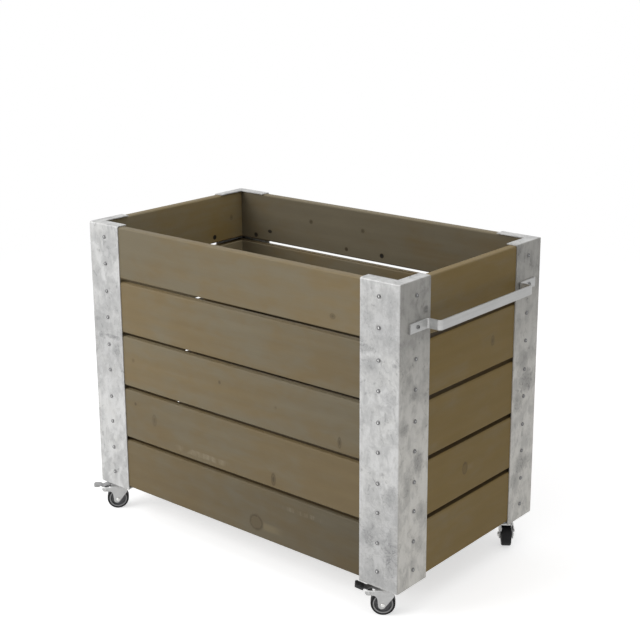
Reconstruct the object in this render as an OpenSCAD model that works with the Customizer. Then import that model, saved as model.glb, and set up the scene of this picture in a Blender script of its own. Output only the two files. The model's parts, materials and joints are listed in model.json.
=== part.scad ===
// Rolling planter: rows of eased boards held by four folded steel corner posts,
// on four swivel casters, with a flat-bar pull handle on one end.
// Z is up and the ground is at z = 0. X runs along the long side, with the handle on the +X end.
// The front is at -Y. The origin is the middle of the overall footprint, pedals and handle included.

/* [Place in the frame] */
// Middle of the box along X, off the origin because the handle sticks out
box_x = -8; // [-20:0.5:20]
// Middle of the box along Y, off the origin because the brake pedals stick out
box_y = 9.5; // [-20:0.5:20]

/* [Timber box] */
// Length over the post flanges
box_l = 870; // [600:5:1200]
// Width over the post flanges
box_w = 496; // [420:2:800]
// Rows of boards
rows = 5; // [2:1:5]
// Height of a board
board_h = 116; // [100:1:140]
// Thickness of a board
board_t = 20; // [18:1:26]
// Open gap between two rows
board_gap = 9; // [2:0.5:14]
// Radius of the eased long edges
board_ease = 4; // [1:0.5:6]
// Air between the end boards and the long boards
board_end_gap = 0.5; // [0.2:0.1:2]
// Height of the lowest board above the foot of the posts
board_lift = 7; // [5:0.5:15]

/* [Corner posts] */
// Width of a flange
post_leg = 95; // [85:1:120]
// Thickness of the sheet
post_t = 2; // [1.5:0.1:2.5]
// Outer radius of the folds
fold_r = 3.5; // [3:0.5:6]
// Reach of the cap past the inner face of the boards
cap_lip = 4; // [0:0.5:8]
// Air between the top boards and the caps
cap_gap = 0.5; // [0.1:0.1:3]
// Thickness of the foot plate that carries the caster
foot_t = 3; // [2:0.5:4]

/* [Board screws] */
// Distance of a screw from the outer edge of its corner
screw_in = 50; // [45:1:60]
// Distance between the two screws of a board
screw_pitch = 61; // [40:1:70]
// Diameter of the shank
screw_d = 4; // [3:0.5:5]
// Length under the head
screw_len = 17; // [14:1:18]
// Diameter of the pan head
screw_head_d = 8.5; // [7:0.5:11]
// Height of the pan head
screw_head_h = 2.8; // [2:0.1:4]
// Air round the shank in the timber
pilot_clear = 0.05; // [0.02:0.01:0.2]
// Air round the shank in the steel
flange_clear = 0.3; // [0.1:0.1:0.5]

/* [Pull handle] */
// Height of the flat bar
bar_h = 20; // [16:1:30]
// Thickness of the flat bar
bar_t = 4; // [3:0.5:6]
// Reach of the bar from the flange
handle_reach = 33; // [28:1:60]
// Distance of the bar's tip from the outer edge of the corner
handle_tip_in = 26; // [15:1:38]
// Distance of the bend from the outer edge of the corner
handle_bend_in = 82; // [72:1:110]
// Outer radius of the bends
bar_bend_r = 8; // [7:0.5:12]

/* [Floor] */
// Width of a bearer under the floor boards
bearer_w = 30; // [20:1:40]
// Height of a bearer
bearer_h = 30; // [20:1:40]
// Height of the bearers above the foot of the posts
bearer_lift = 20; // [18:1:40]
// Number of screws through a bearer
bearer_screws_n = 5; // [3:1:8]
// Distance of a bearer's first screw from the inside of the box
bearer_screw_in = 110; // [100:5:150]
// Bite of a bearer screw in the long board
bearer_bite = 12; // [8:1:14]
// Floor boards
slats = 6; // [4:1:6]
// Open gap between two floor boards
slat_gap = 6.5; // [3:0.5:12]
// Thickness of a floor board
slat_t = 18; // [14:1:24]
// Air at the ends of the floor boards and bearers
floor_end_gap = 1; // [0.5:0.5:4]

/* [Casters] */
// Height of a caster from the ground to the foot plate
caster_h = 70; // [68:1:80]
// Distance of a swivel axis from both outer faces of its corner
swivel_in = 40; // [38:1:50]
// Distance of the axle behind the swivel axis
trail = 20; // [16:1:24]
// Wheel diameter
wheel_d = 50; // [46:1:52]
// Width of the tyre
tyre_w = 21; // [16:1:22]
// Thickness of the tyre
tyre_t = 4.5; // [3:0.5:7]
// Radius of the tyre's shoulders
tyre_round = 2; // [1:0.5:3]
// Inside width of the fork
fork_gap = 26; // [24.5:0.5:30]
// Thickness of the fork's sheet
fork_t = 2.5; // [2:0.1:3]
// Height of the fork's crown above the ground
crown_z = 56; // [55:0.5:58]
// Length of the fork's wings behind the swivel axis
wing_len = 56; // [54:1:60]
// Diameter of the king pin
king_d = 10; // [8:0.5:12]
// Diameter of the axle
axle_d = 6; // [5:0.5:8]
// Radial air of a running fit
run_clear = 0.05; // [0.02:0.01:0.1]
// Air between faces that turn past each other
side_clear = 0.3; // [0.2:0.1:0.6]
// Rest direction of the front left caster
turn_front_left = -132; // [-180:1:180]
// Rest direction of the front right caster
turn_front_right = -143; // [-180:1:180]
// Rest direction of the back left caster
turn_back_left = 150; // [-180:1:180]
// Rest direction of the back right caster
turn_back_right = -53; // [-180:1:180]

/* [Brakes] */
// Distance of the pedal's pivot behind the swivel axis
pivot_x = 47; // [46:0.5:50]
// Height of the pedal's pivot above the ground
pivot_z = 50; // [49.5:0.5:51]
// Diameter of the pivot pin
pivot_d = 4; // [3:0.5:5]
// Width of the pedal
pedal_w = 19; // [12:1:20]
// Thickness of the pedal's sheet
pedal_t = 2; // [1.5:0.1:2.5]
// Reach of the pedal behind the swivel axis
pedal_len = 75; // [70:1:85]
// Angle that the pedal turns through to press its cam to the tyre
brake_angle = 12; // [8:1:14]
// Width of the sleeve on the right pedal
sleeve_w = 24; // [20:1:28]
// Length of the sleeve
sleeve_len = 19; // [14:1:22]
// Wall of the sleeve
sleeve_wall = 2.5; // [1.5:0.5:4]

/* [Hidden] */
$fn = 48;
eps = 1;
corners = ["front_left", "front_right", "back_left", "back_right"];
sides_x = [-1, 1, -1, 1];
sides_y = [-1, -1, 1, 1];
turns = [turn_front_left, turn_front_right, turn_back_left, turn_back_right];
braked = [true, true, false, false];
corner_parts = ["post", "fork", "axle", "hub", "tyre"];

post_z = caster_h;
board_z = post_z + board_lift;
pitch = board_h + board_gap;
boards_top = board_z + rows * pitch - board_gap;
cap_z = boards_top + cap_gap;
post_h = cap_z + post_t - post_z;
cap_w = post_t + board_t + cap_lip;
wall = post_t + board_t;
inside_l = box_l - 2 * wall;
inside_w = box_w - 2 * wall;
fold_in = fold_r - post_t;
foot_side = post_leg - fold_r;

pilot_r = screw_d / 2 + pilot_clear;
flange_hole_r = screw_d / 2 + flange_clear;
screw_tip = screw_d;
screw_dome_r = screw_head_d;
handle_row = rows - 1;
handle_z = board_z + handle_row * pitch + (board_h - screw_pitch) / 2;
bend_in = bar_bend_r - bar_t;

bearer_z = post_z + bearer_lift;
slat_z = bearer_z + bearer_h;
slat_w = (inside_l - (slats + 1) * slat_gap) / slats;
bearer_len = inside_l - 2 * floor_end_gap;
bearer_screw_len = bearer_w + bearer_bite;

wheel_r = wheel_d / 2;
rim_r = wheel_r - tyre_t;
fork_w = fork_gap + 2 * fork_t;
king_r = king_d / 2;
king_hole_r = king_r + run_clear;
king_rim = 3;
king_head_t = 2.2;
nut_wall = 4.5;
nut_t = 6;
king_tip = 3;
cup_step = 2;
cup_belly = 6;
cup_rim = 0.5;
head_rim = 3.5;
axle_r = axle_d / 2;
axle_hole_r = axle_r + run_clear;
axle_head_rim = 2.2;
axle_head_r = axle_r + axle_head_rim;
axle_head_t = 3.5;
axle_head_taper = 1;
axle_nut_rim = 2.6;
axle_nut_r = axle_r + axle_nut_rim;
boss_wall = 4;
boss_r = axle_r + boss_wall;
boss_taper = 1;
web_half = tyre_w / 4;
rim_share = 0.425;
rim_half = tyre_w * rim_share;
rim_wall = 3;
rim_slope = 2;
hub_half = fork_gap / 2 - side_clear;
leg_tip_r = 9;
leg_tip_drop = 1;
leg_tip_top = 5;
leg_lead_w = 7.2;
leg_trail_w = 8.1;
lead_edge_x = -2;
lead_edge_h = 15;
wing_root_x = 16;
wing_heel_x = 20;
wing_drop = 10;
wing_root_drop = 4;
wing_heel_drop = 1;
wing_nose = 2;
crown_end_in = 11;
crown_end_x = pivot_x - crown_end_in;
pivot_r = pivot_d / 2;
pivot_head_t = 1.5;
cam_w = 14;
cam_r = 4;
cam_tip_r = 2.5;
heel_len = 23;
heel_rise = 3;
hump_len = 12;
hump_rise = 5;
dip_half = 3;
dip_drop = 2;
tip_rise = 2.5;

// The two screws of a board, in every row
module each_screw_z() {
    for (row = [0 : rows - 1])
        for (s = [-1, 1])
            translate([0, 0, board_z + row * pitch + board_h / 2 + s * screw_pitch / 2]) children();
}

// Children drawn for the corner at the origin, with the box towards +X and +Y
module at_corner(i) {
    translate([box_x + sides_x[i] * box_l / 2, box_y + sides_y[i] * box_w / 2, 0])
        mirror([sides_x[i] > 0 ? 1 : 0, 0, 0])
            mirror([0, sides_y[i] > 0 ? 1 : 0, 0]) children();
}

// Children drawn with the swivel axis on Z and the wheel towards +X
module at_caster(i) {
    translate([box_x + sides_x[i] * (box_l / 2 - swivel_in), box_y + sides_y[i] * (box_w / 2 - swivel_in), 0])
        children();
}

module turned(i) {
    at_caster(i) rotate(turns[i]) children();
}

// Rectangle with true round corners
module round_rect(w, h, r) {
    translate([r, 0]) square([w - 2 * r, h]);
    translate([0, r]) square([w, h - 2 * r]);
    for (x = [r, w - r]) for (y = [r, h - r]) translate([x, y]) circle(r);
}

// Board along X from the origin, with its outer face at y = 0 and its lower edge at z = 0
module board(len) {
    rotate([90, 0, 90]) linear_extrude(len) round_rect(board_t, board_h, board_ease);
}

// Pilot hole along +Y from the origin
module pilot() {
    translate([0, -eps, 0]) rotate([-90, 0, 0]) cylinder(h = screw_len + pilot_clear + eps, r = pilot_r);
}

// The screws through the front bearer
module each_bearer_screw() {
    step = (inside_l - 2 * bearer_screw_in) / (bearer_screws_n - 1);
    for (k = [0 : bearer_screws_n - 1])
        translate([-inside_l / 2 + bearer_screw_in + k * step, -inside_w / 2, bearer_z + bearer_h / 2])
            children();
}

// Long board of one row at the front, its ends clear of the round of the corner folds;
// the back one is its mirror image
module long_board(row) {
    end_in = post_t + fold_in;
    difference() {
        translate([-box_l / 2 + end_in, -box_w / 2 + post_t, board_z + row * pitch])
            board(box_l - 2 * end_in);
        for (x = [-1, 1])
            translate([x * (box_l / 2 - screw_in), -box_w / 2 + post_t, 0]) each_screw_z() pilot();
        each_bearer_screw() translate([0, eps, 0]) rotate([90, 0, 0])
            cylinder(h = bearer_bite + pilot_clear + eps, r = pilot_r);
    }
}

module front_board(row) {
    color([0.50, 0.46, 0.38]) translate([box_x, box_y, 0]) long_board(row);
}

module back_board(row) {
    color([0.48, 0.45, 0.37]) translate([box_x, box_y, 0]) mirror([0, 1, 0]) long_board(row);
}

// End board of one row at the left; the right one is its mirror image
module end_board(row) {
    len = inside_w - 2 * board_end_gap;
    difference() {
        translate([-box_l / 2 + post_t, len / 2, board_z + row * pitch]) rotate(-90) board(len);
        for (y = [-1, 1])
            translate([-box_l / 2 + post_t, y * (box_w / 2 - screw_in), 0])
                rotate(-90) each_screw_z() pilot();
    }
}

module left_board(row) {
    color([0.44, 0.38, 0.27]) translate([box_x, box_y, 0]) end_board(row);
}

module right_board(row) {
    color([0.42, 0.35, 0.24]) translate([box_x, box_y, 0]) mirror([1, 0, 0]) end_board(row);
}

// Rectangle from the origin, w along X and d along Y, with the corner at the origin rounded
module corner_square(w, r, d) {
    translate([r, 0]) square([w - r, d]);
    translate([0, r]) square([w, d - r]);
    translate([r, r]) circle(r);
}

// Corner post with its outer corner at the origin
module post_form() {
    difference() {
        intersection() {
            post_envelope(0, fold_r);
            union() {
                cube([post_leg, cap_w, post_z + post_h + eps]);
                cube([cap_w, post_leg, post_z + post_h + eps]);
            }
        }
        post_envelope(post_t, fold_in);
    }
    difference() {
        translate([fold_in, fold_in, post_z]) cube([foot_side, foot_side, foot_t]);
        translate([swivel_in, swivel_in, post_z - eps]) cylinder(h = foot_t + 2 * eps, r = king_hole_r);
    }
}

// Outer or inner form of the folded sheet: t is the offset and r the radius of its folds
module post_envelope(t, r) {
    low = t > 0 ? -eps : 0;
    side = post_leg + (t > 0 ? eps : 0) - t;
    h = post_h - low - t;
    translate([t, t, post_z + low]) intersection() {
        linear_extrude(h) corner_square(side, r, side);
        translate([0, 0, h]) rotate([0, 90, 0]) linear_extrude(side) corner_square(h, r, side);
        translate([0, 0, h]) mirror([1, -1, 0]) rotate([0, 90, 0])
            linear_extrude(side) corner_square(h, r, side);
    }
}

module post(i) {
    color([0.72, 0.73, 0.73]) at_corner(i) difference() {
        post_form();
        each_screw_z() {
            translate([screw_in, -eps, 0]) rotate([-90, 0, 0]) screw_hole(post_t);
            translate([-eps, screw_in, 0]) rotate([0, 90, 0]) screw_hole(post_t);
        }
    }
}

// Hole along +Z through sheet of thickness t that starts at z = eps
module screw_hole(t) {
    cylinder(h = t + 2 * eps, r = flange_hole_r);
}

// Pan-head screw with the underside of its head at z = 0 and its shank towards -Z
module screw(len) {
    intersection() {
        cylinder(h = screw_head_h, d = screw_head_d);
        translate([0, 0, screw_head_h - screw_dome_r]) sphere(screw_dome_r);
    }
    translate([0, 0, screw_tip - len]) cylinder(h = len - screw_tip, d = screw_d);
    translate([0, 0, -len]) cylinder(h = screw_tip, r1 = pilot_clear, r2 = screw_d / 2);
}

module long_side_screws() {
    for (x = [-1, 1])
        translate([x * (box_l / 2 - screw_in), -box_w / 2, 0])
            each_screw_z() rotate([90, 0, 0]) screw(screw_len + post_t);
}

module front_screws() {
    color([0.62, 0.62, 0.62]) translate([box_x, box_y, 0]) long_side_screws();
}

module back_screws() {
    color([0.62, 0.62, 0.62]) translate([box_x, box_y, 0]) mirror([0, 1, 0]) long_side_screws();
}

module left_screws() {
    color([0.62, 0.62, 0.62]) translate([box_x - box_l / 2, box_y, 0])
        for (y = [-1, 1])
            translate([0, y * (box_w / 2 - screw_in), 0])
                each_screw_z() rotate([0, -90, 0]) screw(screw_len + post_t);
}

// Every screw of the right end but the two that hold the handle
module right_screws() {
    color([0.62, 0.62, 0.62]) translate([box_x + box_l / 2, box_y, 0])
        for (row = [0 : rows - 1])
            for (s = row == handle_row ? [1] : [-1, 1])
                translate([0, 0, board_z + row * pitch + board_h / 2 + s * screw_pitch / 2])
                    for (y = [-1, 1])
                        translate([0, y * (box_w / 2 - screw_in), 0])
                            rotate([0, 90, 0]) screw(screw_len + post_t);
}

module handle_screws() {
    color([0.62, 0.62, 0.62]) translate([box_x + box_l / 2 + bar_t, box_y, handle_z])
        for (y = [-1, 1])
            translate([0, y * (box_w / 2 - screw_in), 0])
                rotate([0, 90, 0]) screw(screw_len + post_t + bar_t);
}

// Quarter of a ring in the quadrant that sx and sy name
module quarter_ring(r_out, r_in, sx, sy) {
    intersection() {
        difference() {
            circle(r_out);
            circle(r_in);
        }
        translate([sx > 0 ? 0 : -r_out, sy > 0 ? 0 : -r_out]) square(r_out);
    }
}

// Half of the bent bar in plan: X outwards from the flange, Y along the end of the box
module half_handle() {
    bend_y = box_w / 2 - handle_bend_in;
    tip_y = box_w / 2 - handle_tip_in;
    translate([handle_reach - bar_t, 0]) square([bar_t, bend_y - bar_bend_r]);
    translate([handle_reach - bar_bend_r, bend_y - bar_bend_r]) quarter_ring(bar_bend_r, bend_in, 1, 1);
    translate([bar_bend_r, bend_y - bar_t]) square([handle_reach - 2 * bar_bend_r, bar_t]);
    translate([bar_bend_r, bend_y + bend_in]) quarter_ring(bar_bend_r, bend_in, -1, -1);
    translate([0, bend_y + bend_in]) square([bar_t, tip_y - bend_y - bend_in]);
}

module handle() {
    color([0.68, 0.68, 0.68]) translate([box_x + box_l / 2, box_y, handle_z]) difference() {
        translate([0, 0, -bar_h / 2]) linear_extrude(bar_h) {
            half_handle();
            mirror([0, 1]) half_handle();
        }
        for (y = [-1, 1])
            translate([-eps, y * (box_w / 2 - screw_in), 0]) rotate([0, 90, 0]) screw_hole(bar_t);
    }
}

// Bearer along the foot of the front boards; the back one is its mirror image
module bearer_form() {
    difference() {
        translate([-bearer_len / 2, -inside_w / 2, bearer_z]) cube([bearer_len, bearer_w, bearer_h]);
        each_bearer_screw() translate([0, -eps, 0]) rotate([-90, 0, 0]) screw_hole(bearer_w);
    }
}

module front_bearer() {
    color([0.55, 0.47, 0.33]) translate([box_x, box_y, 0]) bearer_form();
}

module back_bearer() {
    color([0.55, 0.47, 0.33]) translate([box_x, box_y, 0]) mirror([0, 1, 0]) bearer_form();
}

module bearer_screws() {
    color([0.62, 0.62, 0.62]) translate([box_x, box_y, 0])
        for (m = [0, 1])
            mirror([0, m, 0]) each_bearer_screw() translate([0, bearer_w, 0])
                rotate([-90, 0, 0]) screw(bearer_screw_len);
}

module floor_board(k) {
    x = -inside_l / 2 + slat_gap + (k - 1) * (slat_w + slat_gap);
    color([0.52, 0.45, 0.33]) translate([box_x + x, box_y - inside_w / 2 + floor_end_gap, slat_z])
        cube([slat_w, inside_w - 2 * floor_end_gap, slat_t]);
}

// Side view of the fork, X along the trail and Y up
module fork_side() {
    wing_z = crown_z - wing_drop;
    polygon([
        [lead_edge_x, crown_z], [lead_edge_x, wheel_r + lead_edge_h],
        [trail - leg_lead_w, wheel_r - leg_tip_top], [trail + leg_trail_w, wheel_r - leg_tip_top],
        [trail + wing_root_x, wing_z - wing_root_drop], [trail + wing_heel_x, wing_z - wing_heel_drop],
        [wing_len - wing_nose, wing_z], [wing_len, wing_z + wing_nose],
        [wing_len, crown_z - wing_nose], [wing_len - wing_nose, crown_z]]);
    translate([trail, wheel_r - leg_tip_drop]) circle(leg_tip_r);
}

module fork(i) {
    slot_len = wing_len - crown_end_x + eps;
    color([0.70, 0.70, 0.70]) turned(i) difference() {
        union() {
            intersection() {
                translate([0, fork_w / 2, 0]) rotate([90, 0, 0]) linear_extrude(fork_w) fork_side();
                translate([lead_edge_x - eps, 0, 0]) rotate([90, 0, 90])
                    linear_extrude(wing_len - lead_edge_x + 2 * eps) crown_section();
            }
            translate([0, 0, crown_z - fork_t]) cylinder(h = fork_t, d = fork_w);
        }
        translate([lead_edge_x - fork_w, -fork_gap / 2, 0])
            cube([wing_len + 2 * fork_w, fork_gap, crown_z - fork_t]);
        translate([crown_end_x, -fork_gap / 2, 0]) cube([slot_len, fork_gap, crown_z + eps]);
        translate([0, 0, crown_z - fork_t - eps]) cylinder(h = fork_t + 2 * eps, r = king_hole_r);
        across(trail, wheel_r, fork_w + 2 * eps, axle_hole_r);
        if (braked[i]) across(pivot_x, pivot_z, fork_w + 2 * eps, pivot_r + run_clear);
    }
}

// Cross-section of the fork with its two folds, Y across and Z up
module crown_section() {
    translate([-fork_w / 2, 0]) square([fork_w, crown_z - fork_t]);
    translate([-fork_w / 2 + fork_t, 0]) square([fork_w - 2 * fork_t, crown_z]);
    for (s = [-1, 1]) translate([s * (fork_w / 2 - fork_t), crown_z - fork_t]) circle(fork_t);
}

// Cylinder across the caster, through x and z
module across(x, z, len, r) {
    translate([x, len / 2, z]) rotate([90, 0, 0]) cylinder(h = len, r = r);
}

module axle(i) {
    color([0.78, 0.78, 0.78]) turned(i) {
        across(trail, wheel_r, fork_w, axle_r);
        translate([trail, fork_w / 2, wheel_r]) rotate([-90, 0, 0]) axle_head();
        translate([trail, -fork_w / 2, wheel_r]) rotate([90, 0, 0]) axle_nut();
    }
}

module axle_head() {
    cylinder(h = axle_head_t, r1 = axle_head_r, r2 = axle_head_r - axle_head_taper);
}

module axle_nut() {
    cylinder(h = axle_head_t, r = axle_nut_r, $fn = 6);
}

// Wheel centre with the axle along Z
module on_axle(i) {
    turned(i) translate([trail, 0, wheel_r]) rotate([90, 0, 0]) children();
}

module hub(i) {
    web_in = boss_r + boss_taper;
    web_out = rim_r - rim_wall - rim_slope;
    color([0.33, 0.33, 0.34]) on_axle(i) rotate_extrude() polygon([
        [axle_hole_r, -hub_half], [boss_r, -hub_half], [web_in, -web_half], [web_out, -web_half],
        [rim_r - rim_wall, -rim_half], [rim_r, -rim_half], [rim_r, rim_half], [rim_r - rim_wall, rim_half],
        [web_out, web_half], [web_in, web_half], [boss_r, hub_half], [axle_hole_r, hub_half]]);
}

module tyre(i) {
    color([0.09, 0.09, 0.09]) on_axle(i) rotate_extrude() {
        translate([rim_r, -tyre_w / 2]) square([tyre_t - tyre_round, tyre_w]);
        translate([rim_r, -tyre_w / 2 + tyre_round]) square([tyre_t, tyre_w - 2 * tyre_round]);
        for (s = [-1, 1])
            translate([wheel_r - tyre_round, s * (tyre_w / 2 - tyre_round)]) circle(tyre_round);
    }
}

// Pin that holds the fork up to the foot plate, with its nut above the plate
module king_pins() {
    low = crown_z - fork_t - side_clear;
    color([0.74, 0.74, 0.70]) for (i = [0 : 3]) at_caster(i) {
        translate([0, 0, low - king_head_t]) cylinder(h = king_head_t, r = king_r + king_rim);
        translate([0, 0, low]) cylinder(h = post_z + foot_t + nut_t + king_tip - low, r = king_r);
        translate([0, 0, post_z + foot_t]) difference() {
            cylinder(h = nut_t, r = king_r + nut_wall, $fn = 6);
            translate([0, 0, -eps]) cylinder(h = nut_t + 2 * eps, r = king_hole_r);
        }
    }
}

// Pressed cup between the fork and the foot plate
module swivel_heads() {
    low = crown_z + side_clear;
    cup_r = fork_w / 2 + cup_rim;
    neck_r = cup_r - cup_step;
    foot_z = post_z - cup_step;
    color([0.70, 0.70, 0.70]) for (i = [0 : 3]) at_caster(i) rotate_extrude() polygon([
        [king_hole_r, low], [neck_r, low], [cup_r, low + cup_step], [cup_r, low + cup_belly],
        [neck_r, low + cup_belly + cup_step], [neck_r, foot_z], [fork_w / 2 + head_rim, foot_z],
        [fork_w / 2 + head_rim, post_z], [king_hole_r, post_z]]);
}

// Side view of the bent pedal sheet: the inner tip frees the brake and the outer one sets it
function pedal_line() = [
    [pivot_x - heel_len, crown_z + heel_rise], [pivot_x - hump_len, crown_z + hump_rise],
    [pivot_x - dip_half, crown_z], [pivot_x + dip_half, crown_z - dip_drop],
    [wing_len + dip_half, crown_z], [pedal_len, crown_z + tip_rise]];

module pedal(i) {
    line = pedal_line();
    back = [for (k = [len(line) - 1 : -1 : 0]) line[k] - [0, pedal_t]];
    reach = norm([pivot_x - trail, pivot_z - wheel_r]) - wheel_r - side_clear - cam_tip_r;
    aim = atan2(wheel_r - pivot_z, trail - pivot_x) + brake_angle;
    color([0.42, 0.42, 0.42]) turned(i) {
        translate([0, pedal_w / 2, 0]) rotate([90, 0, 0]) linear_extrude(pedal_w) polygon(concat(line, back));
        translate([pivot_x, cam_w / 2, pivot_z]) rotate([90, 0, 0]) linear_extrude(cam_w) {
            circle(cam_r);
            translate([-cam_r, 0]) square([2 * cam_r, crown_z - pivot_z - pedal_t / 2]);
            rotate(aim) {
                translate([0, -cam_tip_r]) square([reach, 2 * cam_tip_r]);
                translate([reach, 0]) circle(cam_tip_r);
            }
        }
        across(pivot_x, pivot_z, fork_w + 2 * pivot_head_t, pivot_r);
    }
}

module front_left_pedal() {
    pedal(0);
}

module front_right_pedal() {
    pedal(1);
}

// Plastic sleeve pushed over the tip of the right pedal
module pedal_sleeve() {
    line = pedal_line();
    tip = line[len(line) - 1];
    bend = line[len(line) - 2];
    tilt = atan2(tip[1] - bend[1], tip[0] - bend[0]);
    h = pedal_t + 2 * sleeve_wall;
    color([0.08, 0.08, 0.08]) turned(1) translate([tip[0], 0, tip[1]]) rotate([0, -tilt, 0]) difference() {
        translate([sleeve_wall - sleeve_len, -sleeve_w / 2, sleeve_wall - h])
            rotate([90, 0, 90]) linear_extrude(sleeve_len) round_rect(sleeve_w, h, sleeve_wall);
        translate([-sleeve_len, -pedal_w / 2, -pedal_t]) cube([sleeve_len, pedal_w, pedal_t]);
    }
}

for (i = [1 : rows]) {
    front_board(i - 1);
    back_board(i - 1);
    left_board(i - 1);
    right_board(i - 1);
}
for (i = [0 : 3]) {
    post(i);
    fork(i);
    axle(i);
    hub(i);
    tyre(i);
}
for (i = [1 : slats]) {
    floor_board(i);
}
front_screws();
back_screws();
left_screws();
right_screws();
handle_screws();
handle();
front_bearer();
back_bearer();
bearer_screws();
king_pins();
swivel_heads();
front_left_pedal();
front_right_pedal();
pedal_sleeve();
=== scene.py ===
import json
import math

import bmesh
import bpy
from mathutils import Matrix, Vector


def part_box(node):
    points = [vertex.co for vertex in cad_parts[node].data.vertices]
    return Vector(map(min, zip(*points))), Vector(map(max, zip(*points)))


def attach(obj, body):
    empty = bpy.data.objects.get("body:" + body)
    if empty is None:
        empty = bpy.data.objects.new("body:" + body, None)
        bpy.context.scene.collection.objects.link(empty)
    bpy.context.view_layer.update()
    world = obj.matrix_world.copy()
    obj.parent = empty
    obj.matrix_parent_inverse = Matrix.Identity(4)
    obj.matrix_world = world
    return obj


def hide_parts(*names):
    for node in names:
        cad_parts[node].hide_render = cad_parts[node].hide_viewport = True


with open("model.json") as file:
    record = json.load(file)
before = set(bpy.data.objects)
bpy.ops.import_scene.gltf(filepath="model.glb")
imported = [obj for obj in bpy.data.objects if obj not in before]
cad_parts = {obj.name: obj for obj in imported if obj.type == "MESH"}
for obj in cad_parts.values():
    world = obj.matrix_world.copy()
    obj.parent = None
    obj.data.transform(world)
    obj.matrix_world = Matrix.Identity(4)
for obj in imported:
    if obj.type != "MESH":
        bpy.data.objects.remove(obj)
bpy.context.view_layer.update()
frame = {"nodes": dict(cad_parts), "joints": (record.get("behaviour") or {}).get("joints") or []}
print("loaded the planter's frame:", len(frame["nodes"]), "nodes")

corners = ("front_left", "front_right", "back_left", "back_right")
sides = ("front", "back", "left", "right")
rows = range(1, 6)
topRow = rows[-1]
joints = {joint["name"]: joint for joint in frame["joints"]}
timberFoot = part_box("front_board_1")[0].z  # underside of the lowest boards
postLow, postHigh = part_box("front_left_post")[0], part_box("back_right_post")[1]


class Wire:  # a shader socket that plain arithmetic works on
    def __init__(self, graph, socket):
        self.graph = graph
        self.socket = socket

    def maths(self, operation, *values):
        return self.graph.node("ShaderNodeMath", {"operation": operation}, values)

    def __add__(self, other):
        return self.maths("ADD", self, other)

    def __radd__(self, other):
        return self.maths("ADD", other, self)

    def __sub__(self, other):
        return self.maths("SUBTRACT", self, other)

    def __rsub__(self, other):
        return self.maths("SUBTRACT", other, self)

    def __mul__(self, other):
        return self.maths("MULTIPLY", self, other)

    def __rmul__(self, other):
        return self.maths("MULTIPLY", other, self)

    def __truediv__(self, other):
        return self.maths("DIVIDE", self, other)

    def __rtruediv__(self, other):
        return self.maths("DIVIDE", other, self)

    def __pow__(self, other):
        return self.maths("POWER", self, other)

    def __abs__(self):
        return self.maths("ABSOLUTE", self)

    def sine(self):
        return self.maths("SINE", self)


class Graph:  # the nodes of a material or of the sky
    def __init__(self, tree):
        self.tree = tree
        tree.nodes.clear()

    def node(self, kind, settings, values, out=0):
        made = self.tree.nodes.new(kind)
        for key, value in settings.items():
            setattr(made, key, value)
        for key, value in values.items() if isinstance(values, dict) else enumerate(values):
            if isinstance(value, Wire):
                self.tree.links.new(value.socket, made.inputs[key])
            else:
                made.inputs[key].default_value = value
        return Wire(self, made.outputs[out]) if made.outputs else None

    def place(self):  # x, y and z of the surface, in metres
        spot = self.node("ShaderNodeTexCoord", {}, {}, 3)
        return [self.node("ShaderNodeSeparateXYZ", {}, [spot], i) for i in range(3)]

    def vector(self, x, y, z):
        return self.node("ShaderNodeCombineXYZ", {}, [x, y, z])

    def noise(self, spot, scale, detail=2.0, rough=0.5, bend=0.0):
        values = {"Vector": spot, "Scale": scale, "Detail": detail, "Roughness": rough, "Distortion": bend}
        return self.node("ShaderNodeTexNoise", {}, values)

    def smooth(self, value, low, high):  # 0 below low, 1 above high
        settings = {"interpolation_type": "SMOOTHSTEP"}
        return self.node("ShaderNodeMapRange", settings, [value, low, high, 0.0, 1.0])

    def fade(self, value, low, high):  # 1 below low, 0 above high
        return 1 - self.smooth(value, low, high)

    def band(self, value, low, rise, fall, high):  # 1 from rise to fall, 0 outside low and high
        return self.smooth(value, low, rise) * self.fade(value, fall, high)

    def pattern(self, spot, scales, shift, detail, rough=0.5, bend=0.0):  # noise with a scale for each axis
        stretched = [at * scale + by if by else at * scale for at, scale, by in zip(spot, scales, shift)]
        return self.noise(self.vector(*stretched), 1.0, detail, rough, bend)

    def mix(self, amount, first, second):  # 6 and 7 are the node's colour sockets
        ends = {6: full(first), 7: full(second), 0: amount}
        return self.node("ShaderNodeMix", {"data_type": "RGBA"}, ends, 2)

    def tint(self, colour, amount):  # colour times a number
        return self.cast(colour, self.vector(amount, amount, amount))

    def cast(self, colour, second):  # colour times another colour
        settings = {"data_type": "RGBA", "blend_type": "MULTIPLY"}
        return self.node("ShaderNodeMix", settings, {6: full(colour), 7: full(second), 0: 1.0}, 2)

    def bump(self, height, depth, strength=1.0):
        values = {"Height": height, "Distance": depth, "Strength": strength}
        return self.node("ShaderNodeBump", {}, values)

    def close(self, **sockets):  # the shader itself
        values = {key.replace("_", " "): full(value) for key, value in sockets.items()}
        shader = self.node("ShaderNodeBsdfPrincipled", {}, values)
        self.node("ShaderNodeOutputMaterial", {}, [shader])
        return self.material


def full(value):  # a colour with its alpha
    return (*value, 1) if isinstance(value, tuple) and len(value) == 3 else value


def newFinish(name):
    material = bpy.data.materials.new(name)
    material.use_nodes = True
    finish = Graph(material.node_tree)
    finish.material = material
    return finish


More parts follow.
